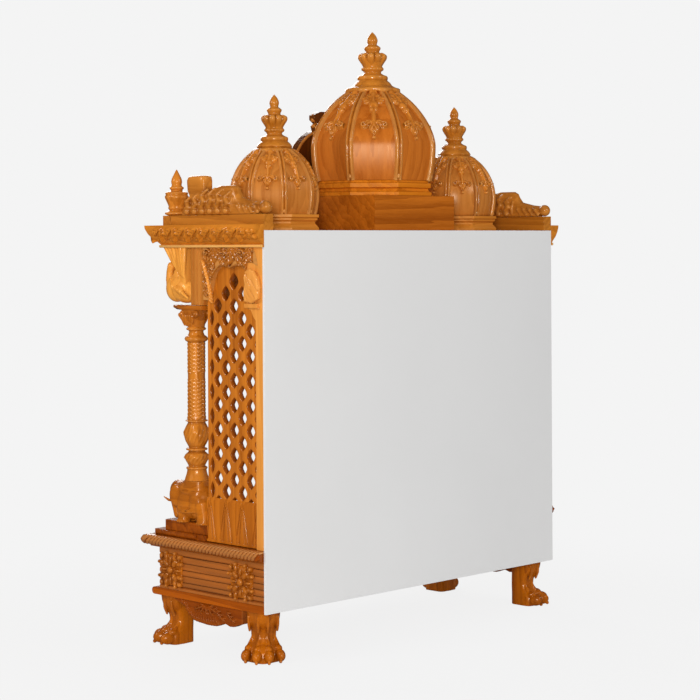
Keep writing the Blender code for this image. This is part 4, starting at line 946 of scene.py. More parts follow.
for hand in (-1, 1):
    face = bird_x + hand * 0.0165
    lump(bm, spot(bird_x + hand * 0.0108, -0.3560, 0.8100), (0.0026, 0.0032, 0.0032), steps=6)
    for k in range(6):
        share = k / 5
        top = spot(face + hand * 0.0010, -0.3560 + 0.0690 * share, 0.8600)
        root = spot(face + hand * 0.0010, -0.3080 + 0.0200 * share, 0.7960 - 0.012 * share)
        limb(bm, [root, root * 0.5 + top * 0.5 + Vector((hand * 0.0010, 0, 0)), top],
             (0.0030, 0.0058, 0.0072), 8)
    for k in range(5):
        y = -0.3290 + 0.0095 * k
        limb(bm, [spot(face + hand * 0.0015, y - 0.008, 0.7790 - 0.004 * k),
                  spot(face + hand * 0.0085, y + 0.005, 0.7620 - 0.004 * k),
                  spot(face + hand * 0.0040, y + 0.019, 0.7420 - 0.002 * k)], (0.0030, 0.0052, 0.0026), 8)
saw_off(bm, spot(0, 0, 0.8626), (0, 0, 1))
peacock = one_skin("carved_peacock_right", bm, peacock_wood, cut=0.00125, rub=1)
show_pair(peacock, "peacock_right", slot="teak_light")

# Pierced side walls
# A board pierced with staggered pointed holes whose edges are carved back to a broad slope. Below the holes
# long pointed grooves run down to the steps.
lattice_wood = teak("lattice_teak", (0.657, 0.201, 0.0151), (0.356, 0.088, 0.0041), "Z", depth=0.9,
                    edge_highlight=0.08, reach=0.010, shift=(0.01, 0.03, 0), coat=0.45)

# Painted shade: the sloped walls of the holes are coloured darker, as walls that lie in shade.
shaded_slope_wood = teak("lattice_slope_shade_teak", (0.374, 0.086, 0.0025), (0.159, 0.029, 0.0020), "Z", depth=0.9,
                  reach=0.012)


def sawn(name, outline, holes, thickness, slope, place, wood):
    """A board sawn to an outline and pierced, with its edges carved back to a slope that takes a darker wood
    as painted shade.
    """
    data = bpy.data.curves.new(name, "CURVE")
    data.dimensions = "2D"
    data.fill_mode = "BOTH"
    data.extrude = thickness / 2 - slope
    data.bevel_depth = slope
    data.bevel_resolution = 2
    data.offset = -slope
    for ring in (outline, *holes):
        line = data.splines.new("POLY")
        line.points.add(len(ring) - 1)
        for point, (x, y) in zip(line.points, ring):
            point.co = (x, y, 0, 1)
        line.use_cyclic_u = True
    carrier = bpy.data.objects.new(name, data)
    bpy.context.scene.collection.objects.link(carrier)
    graph = bpy.context.evaluated_depsgraph_get()
    bm = bmesh.new()
    bm.from_mesh(bpy.data.meshes.new_from_object(carrier.evaluated_get(graph)))
    bpy.data.objects.remove(carrier, do_unlink=True)
    bmesh.ops.remove_doubles(bm, verts=bm.verts, dist=0.00002)
    bmesh.ops.recalc_face_normals(bm, faces=bm.faces)
    # Painted shade: the sloped side walls get the darker second wood.
    for face in bm.faces:
        if abs(face.normal.z) < 0.9 and abs(face.calc_center_median().z) < thickness / 2 - 0.0002:
            face.material_index = 1
    bmesh.ops.transform(bm, matrix=place, verts=bm.verts)
    board = new_piece(name, bm, wood, smooth=32)
    board.data.materials.append(shaded_slope_wood)
    return board


ROW = 0.0295
COLUMN = 0.0573
holes = []
for row in range(19):
    level = 0.7762 - ROW * row
    if row % 2 == 0:
        columns = [0] if row == 0 else [-1, 0] if row == 2 else [-1, 0, 1]
        offset = 0.0
    else:
        columns = [-1, 0] if row == 1 else [-2, -1, 0] if row == 3 else [-2, -1, 0, 1]
        offset = 0.5
    grow = 1.16 if row == 0 else 1.0
    for column_at in columns:
        middle = -0.118 + COLUMN * (column_at + offset)
        span = 0.0116 * grow
        if column_at == -2:
            middle = -0.1975
            span = 0.0050
        ring = []
        for k in range(16):
            turn = 2 * math.pi * k / 16
            rise = math.copysign(abs(math.sin(turn)) ** 1.5, math.sin(turn))
            wide = math.copysign(abs(math.cos(turn)) ** 1.7, math.cos(turn))
            ring.append((middle + span * wide, level + 0.0155 * grow * rise))
        holes.append(ring)
low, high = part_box("lattice_right")
panel_front = low.y - back_y
panel_rear = high.y - back_y
panel_low = low.z - floor_lift
panel_high = high.z - floor_lift
outline = [(panel_front, panel_low), (panel_rear, panel_low), (panel_rear, panel_high),
           (panel_front, panel_high)]
LATTICE_BOARD = 0.0165
side_on = Matrix(((0, 0, 1, high.x - LATTICE_BOARD / 2), (1, 0, 0, back_y), (0, 1, 0, floor_lift),
                  (0, 0, 0, 1)))
lattice = sawn("pierced_side_right", outline, holes, LATTICE_BOARD, 0.0060, side_on, lattice_wood)
show_pair(lattice, "lattice_right")


def sheet(bm, us, vs, heights, place, stand=0.0018):
    """A carved surface over a grid, cut steeply down to its ground; it exists only where it stands above."""
    shown = heights > 0.00005
    heights = heights + stand * (heights > 0.0004)
    corners = {}

    def corner(i, j):
        if (i, j) not in corners:
            corners[i, j] = bm.verts.new(place(us[i], vs[j], float(heights[i, j]) - 0.0006))
        return corners[i, j]

    made = []
    for i in range(len(us) - 1):
        for j in range(len(vs) - 1):
            if shown[i, j] or shown[i + 1, j] or shown[i, j + 1] or shown[i + 1, j + 1]:
                made.append((corner(i, j), corner(i + 1, j), corner(i + 1, j + 1), corner(i, j + 1)))
    for four in made:
        bm.faces.new(four)


def petal(u, v, root, tip, wide, high, ribs=0, bow=0.0):
    """Heights of a carved leaf from root to tip, with a sunk midrib and slanting veins."""
    du = tip[0] - root[0]
    dv = tip[1] - root[1]
    long = np.hypot(du, dv)
    s = ((u - root[0]) * du + (v - root[1]) * dv) / long ** 2
    held = np.clip(s, 0.0, 1.0)
    t = ((v - root[1]) * du - (u - root[0]) * dv) / long - bow * long * np.sin(np.pi * held)
    edge = wide * np.sin(np.pi * held ** 0.8) ** 0.75 + 1e-6
    q = np.abs(t) / edge
    tall = high * np.sqrt(np.clip(1 - q * q, 0, 1)) * (0.45 + 0.55 * np.sin(np.pi * held))
    tall = tall * (1 - 0.35 * np.exp(-(q / 0.16) ** 2))
    if ribs:
        tall = tall * (0.80 + 0.20 * np.cos(2 * np.pi * (ribs * held - 1.2 * q)))
    return np.where((s > 0) & (s < 1) & (q < 1), tall, 0.0)


def curl(u, v, middle, radius, high, start=0.0, hand=1):
    """Heights of a scroll: a rounded band wound in to a bead."""
    r = np.hypot(u - middle[0], v - middle[1])
    around_it = np.arctan2(v - middle[1], (u - middle[0]) * hand)
    wind = np.cos(2 * np.pi * (1.6 * r / radius) - around_it - start)
    tall = high * (0.62 + 0.38 * wind) * np.sqrt(np.clip(1 - (r / radius) ** 4, 0, 1))
    eye = high * 1.25 * np.sqrt(np.clip(1 - (r / (radius * 0.30)) ** 2, 0, 1))
    return np.where(r < radius, np.maximum(tall, eye), 0.0)


def bead(u, v, middle, radius, high):
    """Heights of a small domed bead."""
    r = np.hypot(u - middle[0], v - middle[1])
    return high * np.sqrt(np.clip(1 - (r / radius) ** 2, 0, 1))


def inside(u, v, ring):
    """How far each place lies inside a closed outline, or 0 outside of it."""
    found = np.zeros(u.shape, dtype=bool)
    near = np.full(u.shape, 9.0)
    for (x0, y0), (x1, y1) in zip(ring, list(ring[1:]) + [ring[0]]):
        crosses = ((y0 > v) != (y1 > v)) & (u < (x1 - x0) * (v - y0) / ((y1 - y0) or 1e-12) + x0)
        found ^= crosses
        long = (x1 - x0) ** 2 + (y1 - y0) ** 2 + 1e-12
        share = np.clip(((u - x0) * (x1 - x0) + (v - y0) * (y1 - y0)) / long, 0, 1)
        near = np.minimum(near, np.hypot(u - x0 - share * (x1 - x0), v - y0 - share * (y1 - y0)))
    return np.where(found, near, 0.0)


def grid(u0, u1, v0, v1, step):
    """Even stations over a rectangle."""
    us = np.linspace(u0, u1, int(round((u1 - u0) / step)) + 1)
    vs = np.linspace(v0, v1, int(round((v1 - v0) / step)) + 1)
    u, v = np.meshgrid(us, vs, indexing="ij")
    return us, vs, u, v


us, vs, u, v = grid(panel_front + 0.001, -0.0310, 0.1500, 0.2560, 0.00125)
tall = 0.0036 * np.clip((0.2560 - v) / 0.008, 0, 1) + 0 * u
for k in range(4):
    centre = -0.2040 + COLUMN * k
    for top, wide in ((0.2560, 0.0225), (0.2430, 0.0120)):
        deep = np.abs(u - centre) / (wide * np.clip((top - v) / 0.095, 0, 1) ** 0.85 + 1e-6)
        tall = tall - 0.0042 * np.exp(-((deep - 0.90) / (0.0030 / wide)) ** 2) * (v < top) * (v > 0.156)


def on_side(face):
    """Where a point carved on the right-hand side lies, for a ground that far from the middle."""
    return lambda a, b, h: (face + h, back_y + a, floor_lift + b)


def carved_face(name, us, vs, heights, place, wood, stand=0.0018):
    """A piece that is one carved surface."""
    bm = bmesh.new()
    sheet(bm, us, vs, heights, place, stand)
    return new_piece(name, bm, wood, smooth=180)


lattice_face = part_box("lattice_right")[1].x
lancet_wood = teak("lancet_teak", (0.580, 0.165, 0.0095), (0.305, 0.070, 0.0030), "Z", depth=1.0, edge_highlight=0.1,
                   reach=0.012, coat=0.2)
lancets = carved_face("lancet_grooves_right", us, vs, np.maximum(tall, 0.0001),
                      on_side(lattice_face + 0.0004), lancet_wood, 0)
show_pair(lancets)

# Carved heads over the lattice
# Foliage carved deeply into the thin head board: drooping leaves with scrolled tips, and a twisted rope
# that runs down beside the post.
head_wood = teak("head_teak", (0.576, 0.178, 0.0120), (0.288, 0.071, 0.0033), "Y", depth=1.0, edge_highlight=0.35,
                 reach=0.008, coat=0.6)
paint_nodes(head_wood, "spandrel_right", "spandrel_left")
low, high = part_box("spandrel_right")
head_front = low.y - back_y
head_high = high.z - floor_lift
head_face = high.x
us, vs, u, v = grid(head_front + 0.0005, head_front + 0.178, head_high - 0.133, head_high - 0.0008, 0.0011)
edge_line = [(0.0, 1.0), (0.018, 1.0), (0.028, 0.795), (0.034, 0.62), (0.044, 0.485), (0.060, 0.395),
             (0.078, 0.38), (0.098, 0.425), (0.116, 0.38), (0.1385, 0.38)]
ring = [(head_front, head_high)] + [(head_front + a, head_high - 0.132 * b) for a, b in edge_line]
ring += [(-0.0605, head_high - 0.062), (-0.058, head_high - 0.041), (-0.044, head_high - 0.041),
         (-0.0235, head_high - 0.049), (-0.025, head_high - 0.038), (-0.030, head_high - 0.022),
         (-0.037, head_high - 0.010), (-0.046, head_high)]
deep = inside(u, v, ring)
tall = np.zeros(u.shape)
for k in range(5):
    a = head_front + 0.030 + 0.0310 * k
    b = head_high - 0.003
    swing = 0.015 if k % 2 else -0.012
    tall = np.maximum(tall, petal(u, v, (a - swing, b), (a + swing, b - 0.052), 0.0150, 0.0100, 4, 0.10))
    tall = np.maximum(tall, curl(u, v, (a + swing * 0.9, b - 0.015), 0.0100, 0.0108, k, 1 if k % 2 else -1))
    tall = np.maximum(tall, petal(u, v, (a + 0.014, b - 0.002), (a + 0.020, b - 0.036), 0.0085, 0.0080, 2,
                                  -0.1))
for k in range(5):
    b = head_high - 0.026 - 0.0220 * k
    a = head_front + 0.009 + 0.0010 * k
    tall = np.maximum(tall, petal(u, v, (a - 0.007, b + 0.013), (a + 0.004, b - 0.013), 0.0085, 0.0070, 2,
                                  -0.10))
    a = head_front + 0.034 - 0.0020 * k
    tall = np.maximum(tall, petal(u, v, (a - 0.012, b + 0.012), (a + 0.008, b - 0.018), 0.0095, 0.0085, 2,
                                  0.12))
lip = np.clip(1 - np.abs(deep - 0.0026) / 0.0024, 0, 1) * 0.0050 * (u > head_front + 0.024)
tall = np.maximum(tall, lip) * (deep > 0.0007)
foliage = carved_face("head_foliage_right", us, vs, tall, on_side(head_face), head_wood)
show_pair(foliage, slot="teak_dark")
# Painted highlight: the rope is coloured much paler than the carving around it, standing in for light along
# the strand.
head_rope_highlight_wood = teak("head_rope_highlight_teak", (0.900, 0.330, 0.0450), (0.500, 0.150, 0.0150), "Z", depth=1.0,
                      edge_highlight=0.3, reach=0.006, coat=0.7)
bm = bmesh.new()
for k in range(13):
    share = k / 12
    place = spot(head_face + 0.0042, -0.2110 + 0.0300 * math.sin(share * 1.35), 0.8220 - 0.0930 * share)
    lump(bm, place, (0.0060, 0.0036, 0.0088), (0.85, 0, 0), 8)
show_pair(one_skin("head_rope_right", bm, head_rope_highlight_wood, cut=0.0011, rub=1), slot="teak_light")

# Rear stiles
# A plain pale upright at the back of each side, with a small ledge and a plain bird in low relief above it.
stile_wood = teak("stile_teak", (0.850, 0.348, 0.0630), (0.608, 0.207, 0.0262), "Z", edge=0.0015,
                  shift=(0.05, 0, 0))
bird_wood = teak("bird_teak", (0.889, 0.378, 0.0788), (0.655, 0.234, 0.0353), "Z", depth=0.6, edge_highlight=0.05,
                 shift=(0, 0.02, 0))
paint_nodes(stile_wood, "stile_right", "stile_left")
us, vs, u, v = grid(-0.066, -0.006, 0.7150, 0.8150, 0.0011)
bird = [(-0.0585, 0.7300), (-0.0345, 0.7255), (-0.0140, 0.7350), (-0.0100, 0.7600), (-0.0155, 0.7860),
        (-0.0250, 0.8020), (-0.0390, 0.8075), (-0.0545, 0.8010), (-0.0600, 0.7860), (-0.0565, 0.7700),
        (-0.0605, 0.7500)]
deep = inside(u, v, bird)
tall = 0.0032 * (1 - np.exp(-deep / 0.0022)) * (deep > 0)
for root, tip, wide in (((-0.048, 0.788), (-0.020, 0.744), 0.0075),
                        ((-0.052, 0.776), (-0.030, 0.738), 0.0062),
                        ((-0.056, 0.762), (-0.042, 0.735), 0.0050)):
    tall = tall + petal(u, v, root, tip, wide, 0.0016) * (deep > 0.001)
for across, low_end, high_end in ((0.0365, 0.768, 0.797), (0.0250, 0.752, 0.782), (0.0455, 0.738, 0.760)):
    groove = np.exp(-((u + across + (v - 0.772) * 0.75) / 0.0013) ** 2)
    tall = tall - 0.0022 * groove * (v > low_end) * (v < high_end)
tall = tall - 0.0020 * bead(u, v, (-0.0475, 0.7935), 0.0026, 1.0)
bird_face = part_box("stile_right")[1].x - 0.0012
relief = carved_face("bird_relief_right", us, vs, np.where(deep > 0, tall, 0), on_side(bird_face), bird_wood)
show_pair(relief, slot="teak_light")

# Front arch
# A board with a cusped lower edge fills the head of the front opening. Its face is carved with leaves that
# spring from the posts and meet at the middle.
arch_wood = teak("arch_teak", (0.548, 0.166, 0.0110), (0.301, 0.075, 0.0035), "X", edge=0.0015)
carved_arch_wood = teak("arch_carving_teak", (0.583, 0.183, 0.0142), (0.318, 0.081, 0.0041), "X", depth=0.9,
                        edge_highlight=0.25, reach=0.009)
paint_nodes(arch_wood, "front_arch")
low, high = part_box("front_arch")
arch_top = high.z
arch_reach = high.x
arch_face = low.y
us, vs, u, v = grid(0.0, arch_reach, arch_top - 0.19, arch_top - 0.001, 0.0016)
drops = np.interp(u / arch_reach, [0.0, 0.12, 0.25, 0.40, 0.54, 0.68, 0.82, 0.91, 1.0],
                  [0.235, 0.17, 0.30, 0.235, 0.37, 0.36, 0.54, 0.66, 1.0]) * 0.196
clear_of = arch_top - v
tall = np.zeros(u.shape)
for k in range(9):
    a = 0.020 + 0.054 * k
    size = 1.0 if k < 6 else 1.35
    for hand in (-1, 1):
        tall = np.maximum(tall, petal(u, v, (a, arch_top - 0.006),
                                      (a + hand * 0.021, arch_top - 0.036 * size), 0.0105, 0.0060, 4,
                                      0.1 * hand))
    tall = np.maximum(tall, curl(u, v, (a + 0.026, arch_top - 0.016), 0.0095, 0.0062, k, 1))
for k in range(4):
    a = arch_reach - 0.022 - 0.012 * k
    b = arch_top - 0.060 - 0.028 * (3 - k)
    tall = np.maximum(tall, petal(u, v, (a, b + 0.030), (a - 0.006, b - 0.012), 0.0110, 0.0060, 4))
tall = np.maximum(tall, 0.0030 * np.clip(1 - np.abs(drops - clear_of - 0.0040) / 0.0030, 0, 1))
tall = tall * (clear_of < drops - 0.0012)
arch = carved_face("arch_carving_right", us, vs, tall, lambda a, b, h: (a, arch_face - h, b),
                   carved_arch_wood)
show_pair(arch)

# Back panel
# A thin board closes the back. It is painted a pale neutral grey and has no carving.
paint = bpy.data.materials.new("pale_grey_paint")
paint.use_nodes = True
tree = paint.node_tree
coat_of = tree.nodes["Principled BSDF"]
preset(coat_of, {"Roughness": 0.55, "Specular IOR Level": 0.10})
brushed = add_node(tree, "ShaderNodeTexNoise", {"Scale": 3.0, "Detail": 4.0})
tone = add_node(tree, "ShaderNodeMix", {"A": (0.700, 0.705, 0.712, 1), "B": (0.740, 0.745, 0.752, 1)},
                colours=True)
wire(tree, (add_node(tree, "ShaderNodeTexCoord"), "Object", brushed, "Vector"),
     (brushed, "Fac", tone, "Factor"), (tone, "Result", coat_of, "Base Color"))
paint_nodes(paint, "back_panel")

# Roof board, cornice and fascias
# A thick roof board carries a cornice on three sides, carved with leaf scrolls between slanting ribs over a
# thin fillet, coloured near-white as a painted highlight. Plain fascia boards stand on its edges.
roof_wood = teak("roof_teak", (0.603, 0.197, 0.0202), (0.322, 0.089, 0.0058), "X", edge=0.0015)
fascia_wood = teak("fascia_teak", (0.584, 0.203, 0.0198), (0.326, 0.095, 0.0065), "Y", edge=0.0015,
                   shift=(0, 0, 0.02))
fascia_front_wood = teak("front_fascia_teak", (0.584, 0.203, 0.0198), (0.326, 0.095, 0.0065), "X",
                         edge=0.0015)
cornice_wood = teak("cornice_teak", (0.710, 0.242, 0.0202), (0.411, 0.119, 0.0067), "Y", edge=0.0010)
carved_cornice_wood = teak("cornice_carving_teak", (0.806, 0.279, 0.0242), (0.450, 0.128, 0.0067), "Y",
                           depth=1.0, edge_highlight=0.30, reach=0.007, coat=0.5)
paint_nodes(roof_wood, "roof_board")
paint_nodes(cornice_wood, "cornice")
paint_nodes(fascia_wood, "fascia_left", "fascia_right")
paint_nodes(fascia_front_wood, "fascia_front")
cornice_low, cornice_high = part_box("cornice")
reach = cornice_high.x - half_width
tall_by = cornice_high.z - cornice_low.z
cornice_front = cornice_low.y + reach
FACE = ((0.0, 0.0), (0.12, 0.0), (0.15, 0.09), (0.12, 0.13), (0.30, 0.26), (0.58, 0.41), (0.82, 0.63),
        (0.97, 0.85), (1.0, 1.0))


def cornice_point(level):
    """How far the cornice stands out at a level, as a length."""
    return reach * float(np.interp(level / tall_by, [f[1] for f in FACE], [f[0] for f in FACE]))


def carved_band(u, v, length, unit):
    """Leaf scrolls between slanting ribs, repeated along a band; v runs from 0 to 0.036."""
    count = int(round(length / unit))
    size = length / count
    a = (u % size) / size
    tall = 0.0060 * np.exp(-(((a - 0.10 - (0.036 - v) * 13.5 * 0.62) / 0.075) ** 2))
    base = np.floor(u / size) * size
    for shift in (-1, 0):
        x = base + shift * size
        for a0, b0, a1, b1, wide, high, ribs, bow in (
                (0.20, 0.034, 1.02, 0.005, 0.0068, 0.0046, 5, 0.14),
                (0.52, 0.035, 1.22, 0.020, 0.0052, 0.0040, 4, -0.12),
                (0.30, 0.016, 0.66, 0.002, 0.0046, 0.0036, 3, 0.1)):
            tall = np.maximum(tall, petal(u, v, (x + size * a0, b0), (x + size * a1, b1), wide, high, ribs,
                                          bow))
        tall = np.maximum(tall, curl(u, v, (x + size * 0.98, 0.0235), 0.0072, 0.0052, 0.6))
        tall = np.maximum(tall, bead(u, v, (x + size * 0.60, 0.0075), 0.0030, 0.0036))
    return tall


def out_of_face(b, h):
    """How far out of the box and how high a carved point of the cornice lies."""
    level = 0.0135 + b
    return cornice_point(level) + h * 1.05, cornice_low.z + level - h * 0.75


def out_from_side(a, b, h):
    """Where a point carved on the cornice's right-hand face lies."""
    out, level = out_of_face(b, h)
    return (half_width + out, back_y - a, level)


def out_from_front(a, b, h):
    """Where a point carved on the cornice's front face lies."""
    out, level = out_of_face(b, h)
    return (a, cornice_front - out, level)


side_run = back_y - cornice_front
us, vs, u, v = grid(0.0, side_run, 0.0, 0.036, 0.00115)
tall = carved_band(u, v, side_run - 0.036, 0.050) * (u > 0.036)
flower = (0.018, 0.018)
for k in range(4):
    angle = math.pi / 4 + math.pi / 2 * k
    tip = (flower[0] + 0.0165 * math.cos(angle), flower[1] + 0.0165 * math.sin(angle))
    tall = np.maximum(tall, petal(u, v, flower, tip, 0.0055, 0.0050, 2))
tall = np.maximum(tall, bead(u, v, flower, 0.0050, 0.0062))
tall = tall * (v > 0.0012) * (v < 0.0350)
band = carved_face("cornice_leaves_right", us, vs, tall, out_from_side, carved_cornice_wood)
show_pair(band)
us, vs, u, v = grid(0.0, half_width + 0.018, 0.0, 0.036, 0.0014)
tall = carved_band(u, v, half_width, 0.050) * (v > 0.0012) * (v < 0.0350)
band = carved_face("cornice_leaves_front_right", us, vs, tall, out_from_front, carved_cornice_wood)
show_pair(band)

# Painted highlight: the fillet is coloured a near-white orange to stand for a bright line of light along the
# cornice's lower edge.
highlight_fillet_wood = teak("fillet_highlight_teak", (0.985, 0.560, 0.1700), (0.860, 0.420, 0.1000), "Y", coat=0.6)
bm = bmesh.new()
rim = half_width + 0.0072
low_line = cornice_low.z + 0.0030
bent_bar(bm, [(rim, back_y - 0.0005, low_line), (rim, cornice_front - 0.0030, low_line),
              (rim - 0.0020, cornice_front - 0.0040, low_line), (0, cornice_front - 0.0040, low_line)],
         (0.0036, 0.0036, 0.0036, 0.0036), 10)
bmesh.ops.recalc_face_normals(bm, faces=bm.faces)
fillet = new_piece("cornice_fillet_right", bm, highlight_fillet_wood, smooth=60)
show_pair(fillet, slot="teak_light")

# Corner finials
# Small turned pots on the two front corners, each with a ring of petals and a pointed bud.
finial_wood = teak("corner_finial_teak", (0.755, 0.259, 0.0286), (0.435, 0.126, 0.0084), "Z", depth=0.7,
                   edge_highlight=0.25, reach=0.006)


def petals_round(angle, height, radius):
    """A ring of eight petals round the belly of the pot."""
    share = (height - fascia_top) / corner_height
    grow = 1.0
    if 0.20 < share < 0.50:
        grow += 0.075 * (abs(math.cos(4 * angle)) ** 0.5 - 0.5) * math.sin(math.pi * (share - 0.20) / 0.30)
    return grow, 0.0


low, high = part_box("corner_finial_right")
fascia_top = low.z
corner_height = high.z - low.z
corner_line = [(0.0220, 0.0), (0.0290, 0.03), (0.0295, 0.06), (0.0230, 0.10), (0.0177, 0.12),
               (0.0215, 0.165), (0.0196, 0.205), (0.0240, 0.32), (0.0293, 0.42), (0.0262, 0.47),
               (0.0285, 0.50), (0.0270, 0.525), (0.0150, 0.555), (0.0140, 0.58), (0.0172, 0.605),
               (0.0176, 0.635), (0.0125, 0.670), (0.0120, 0.70), (0.0137, 0.76), (0.0120, 0.84),
               (0.0070, 0.93), (0.0012, 1.035)]
profile = [(radius, fascia_top + corner_height * share) for radius, share in corner_line]
middle = ((low.x + high.x) / 2, (low.y + high.y) / 2, 0)
bm = bmesh.new()
lathe(bm, drawn(rounded(profile), 0.0022), middle, 48, petals_round)
pot = new_piece("turned_corner_finial_right", bm, finial_wood, smooth=60)
show_pair(pot, "corner_finial_right")

# Lions
# A lying lion is carved along the top of each side fascia: a blunt head at the front, a deep mane of curling
# locks along its flank, and a long tail that ends in a ball at the back.
lion_wood = teak("lion_teak", (0.628, 0.221, 0.0262), (0.337, 0.098, 0.0070), "Y", depth=1.0, edge_highlight=0.55,
                 reach=0.016)
lion_x = (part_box("lion_right")[0].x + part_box("lion_right")[1].x) / 2
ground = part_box("lion_right")[0].z - floor_lift
bm = bmesh.new()
stack(bm, blocks(lion_x, ((0.950, -0.2360, 0.0165, 0.0290, 0.6),
                           (0.978, -0.2385, 0.0175, 0.0290, 0.6),
                           (0.994, -0.2430, 0.0185, 0.0325, 0.5),
                           (1.018, -0.2440, 0.0190, 0.0335, 0.5),
                           (1.027, -0.2430, 0.0175, 0.0320, 0.55),
                           (1.030, -0.2430, 0.0130, 0.0270, 0.6))), 32)
stack(bm, blocks(lion_x, ((ground, -0.1620, 0.0175, 0.1400, 0.45),
                           (0.9480, -0.1640, 0.0185, 0.1340, 0.5),
                           (0.9600, -0.1720, 0.0185, 0.1080, 0.6),
                           (0.9740, -0.1660, 0.0180, 0.0780, 0.6),
                           (0.9880, -0.1540, 0.0165, 0.0540, 0.6),
                           (0.9980, -0.1440, 0.0140, 0.0400, 0.65),
                           (1.0040, -0.1400, 0.0090, 0.0260, 0.8))), 36)
limb(bm, [spot(lion_x, -0.0950, 0.9600), spot(lion_x, -0.0500, 0.9530), spot(lion_x, -0.0130, 0.9500)],
     (0.0165, 0.0135, 0.0125), 14)
lump(bm, spot(lion_x, -0.0100, 0.9510), (0.0150, 0.0160, 0.0155), steps=12)
for hand in (-1, 1):
    side = lion_x + hand * 0.0160
    for k in range(6):
        y = -0.2700 + 0.0280 * k
        crown = 0.9740 + 0.0160 * math.sin(math.pi * k / 6)
        limb(bm, [spot(side - hand * 0.003, y + 0.013, crown + 0.006),
                  spot(side + hand * 0.0015, y - 0.002, crown - 0.007),
                  spot(side + hand * 0.003, y + 0.008, crown - 0.020),
                  spot(side + hand * 0.003, y - 0.003, 0.9500)], (0.0046, 0.0066, 0.0078, 0.0064), 10)
        lump(bm, spot(side + hand * 0.004, y + 0.003, 0.9440), (0.0078, 0.0092, 0.0084), steps=8)
        limb(bm, [spot(side - hand * 0.002, y + 0.021, crown - 0.006), spot(side, y + 0.017, crown - 0.024),
                  spot(side, y + 0.019, 0.9450)], (0.0036, 0.0060, 0.0056), 8)
    for k in range(4):
        y = -0.1000 + 0.0200 * k
        limb(bm, [spot(side - hand * 0.005, y, 0.9640 - 0.003 * k),
                  spot(side - hand * 0.002, y + 0.010, 0.9540 - 0.001 * k),
                  spot(side - hand * 0.002, y + 0.018, ground + 0.006)], (0.0044, 0.0064, 0.0052), 8)
saw_off(bm, spot(0, 0, ground + 0.0002), (0, 0, -1))
lion = one_skin("carved_lion_right", bm, lion_wood, cut=0.0015, rub=1)
show_pair(lion, "lion_right", slot="teak_dark")

# Plinths and platform
# The side domes stand on moulded eight-sided plinths, and the central dome on a plain square platform with
# an eight-sided moulded base.
plinth_wood = teak("plinth_teak", (0.686, 0.253, 0.0336), (0.416, 0.130, 0.0100), "X", edge=0.0015, matt=0.4,
                   coat=0.06)
platform_wood = teak("platform_teak", (0.550, 0.149, 0.0096), (0.295, 0.066, 0.0026), "X", edge=0.0015,
                     matt=0.4, coat=0.06, shift=(0, 0, 0.05))
ring_wood = teak("dome_base_teak", (0.740, 0.225, 0.0130), (0.460, 0.118, 0.0044), "X", edge=0.0015,
                 matt=0.4, coat=0.0)
paint_nodes(plinth_wood, "side_plinth_left", "side_plinth_right")
paint_nodes(platform_wood, "dome_platform")
paint_nodes(ring_wood, "dome_base")

# Domes
# Each dome is built up of eight bent staves. A double-edged rib covers every joint and ends in a small
# bead at its foot.
stave_wood = teak("stave_teak", (0.599, 0.169, 0.0158), (0.374, 0.087, 0.0045), "Z", depth=0.5, edge_highlight=0.0,
                  reach=0.010, coat=0.22, shift=(0.02, 0.02, 0), matt=0.30)
side_stave_wood = teak("side_stave_teak", (0.599, 0.216, 0.0353), (0.390, 0.115, 0.0113), "Z", depth=0.5,
                       edge_highlight=0.0, reach=0.010, coat=0.35, shift=(0.05, 0.01, 0), matt=0.26)
rib_wood = teak("rib_teak", (0.568, 0.175, 0.0140), (0.328, 0.085, 0.0041), "Z", depth=0.7, edge_highlight=0.35,
                reach=0.005, coat=0.7)
EIGHTH = math.pi / 8


def dome_line(radius, height, widest, top_radius, count, full=2.0):
    """The onion curve of a dome: radius and height pairs from its foot up."""
    upper = (height - widest) / (1 - (top_radius / radius) ** full) ** (1 / full)
    lower = widest / math.sqrt(1 - 0.93 ** 2)
    line = []
    for k in range(count + 1):
        level = height * k / count
        if level > widest:
            line.append((radius * (1 - ((level - widest) / upper) ** full) ** (1 / full), level))
        else:
            line.append((radius * math.sqrt(1 - ((level - widest) / lower) ** 2), level))
    return line


def staves(name, line, centre, turn, wood):
    """The eight curved boards of a dome, flat across and bent upward."""
    bm = bmesh.new()
    rings = []
    for radius, level in line:
        rings.append([bm.verts.new((centre[0] + radius * math.cos(turn + math.pi / 4 * k),
                                    centre[1] + radius * math.sin(turn + math.pi / 4 * k),
                                    centre[2] + level)) for k in range(8)])
    join_rings(bm, rings)
    bmesh.ops.recalc_face_normals(bm, faces=bm.faces)
    return new_piece(name, bm, wood, smooth=30)


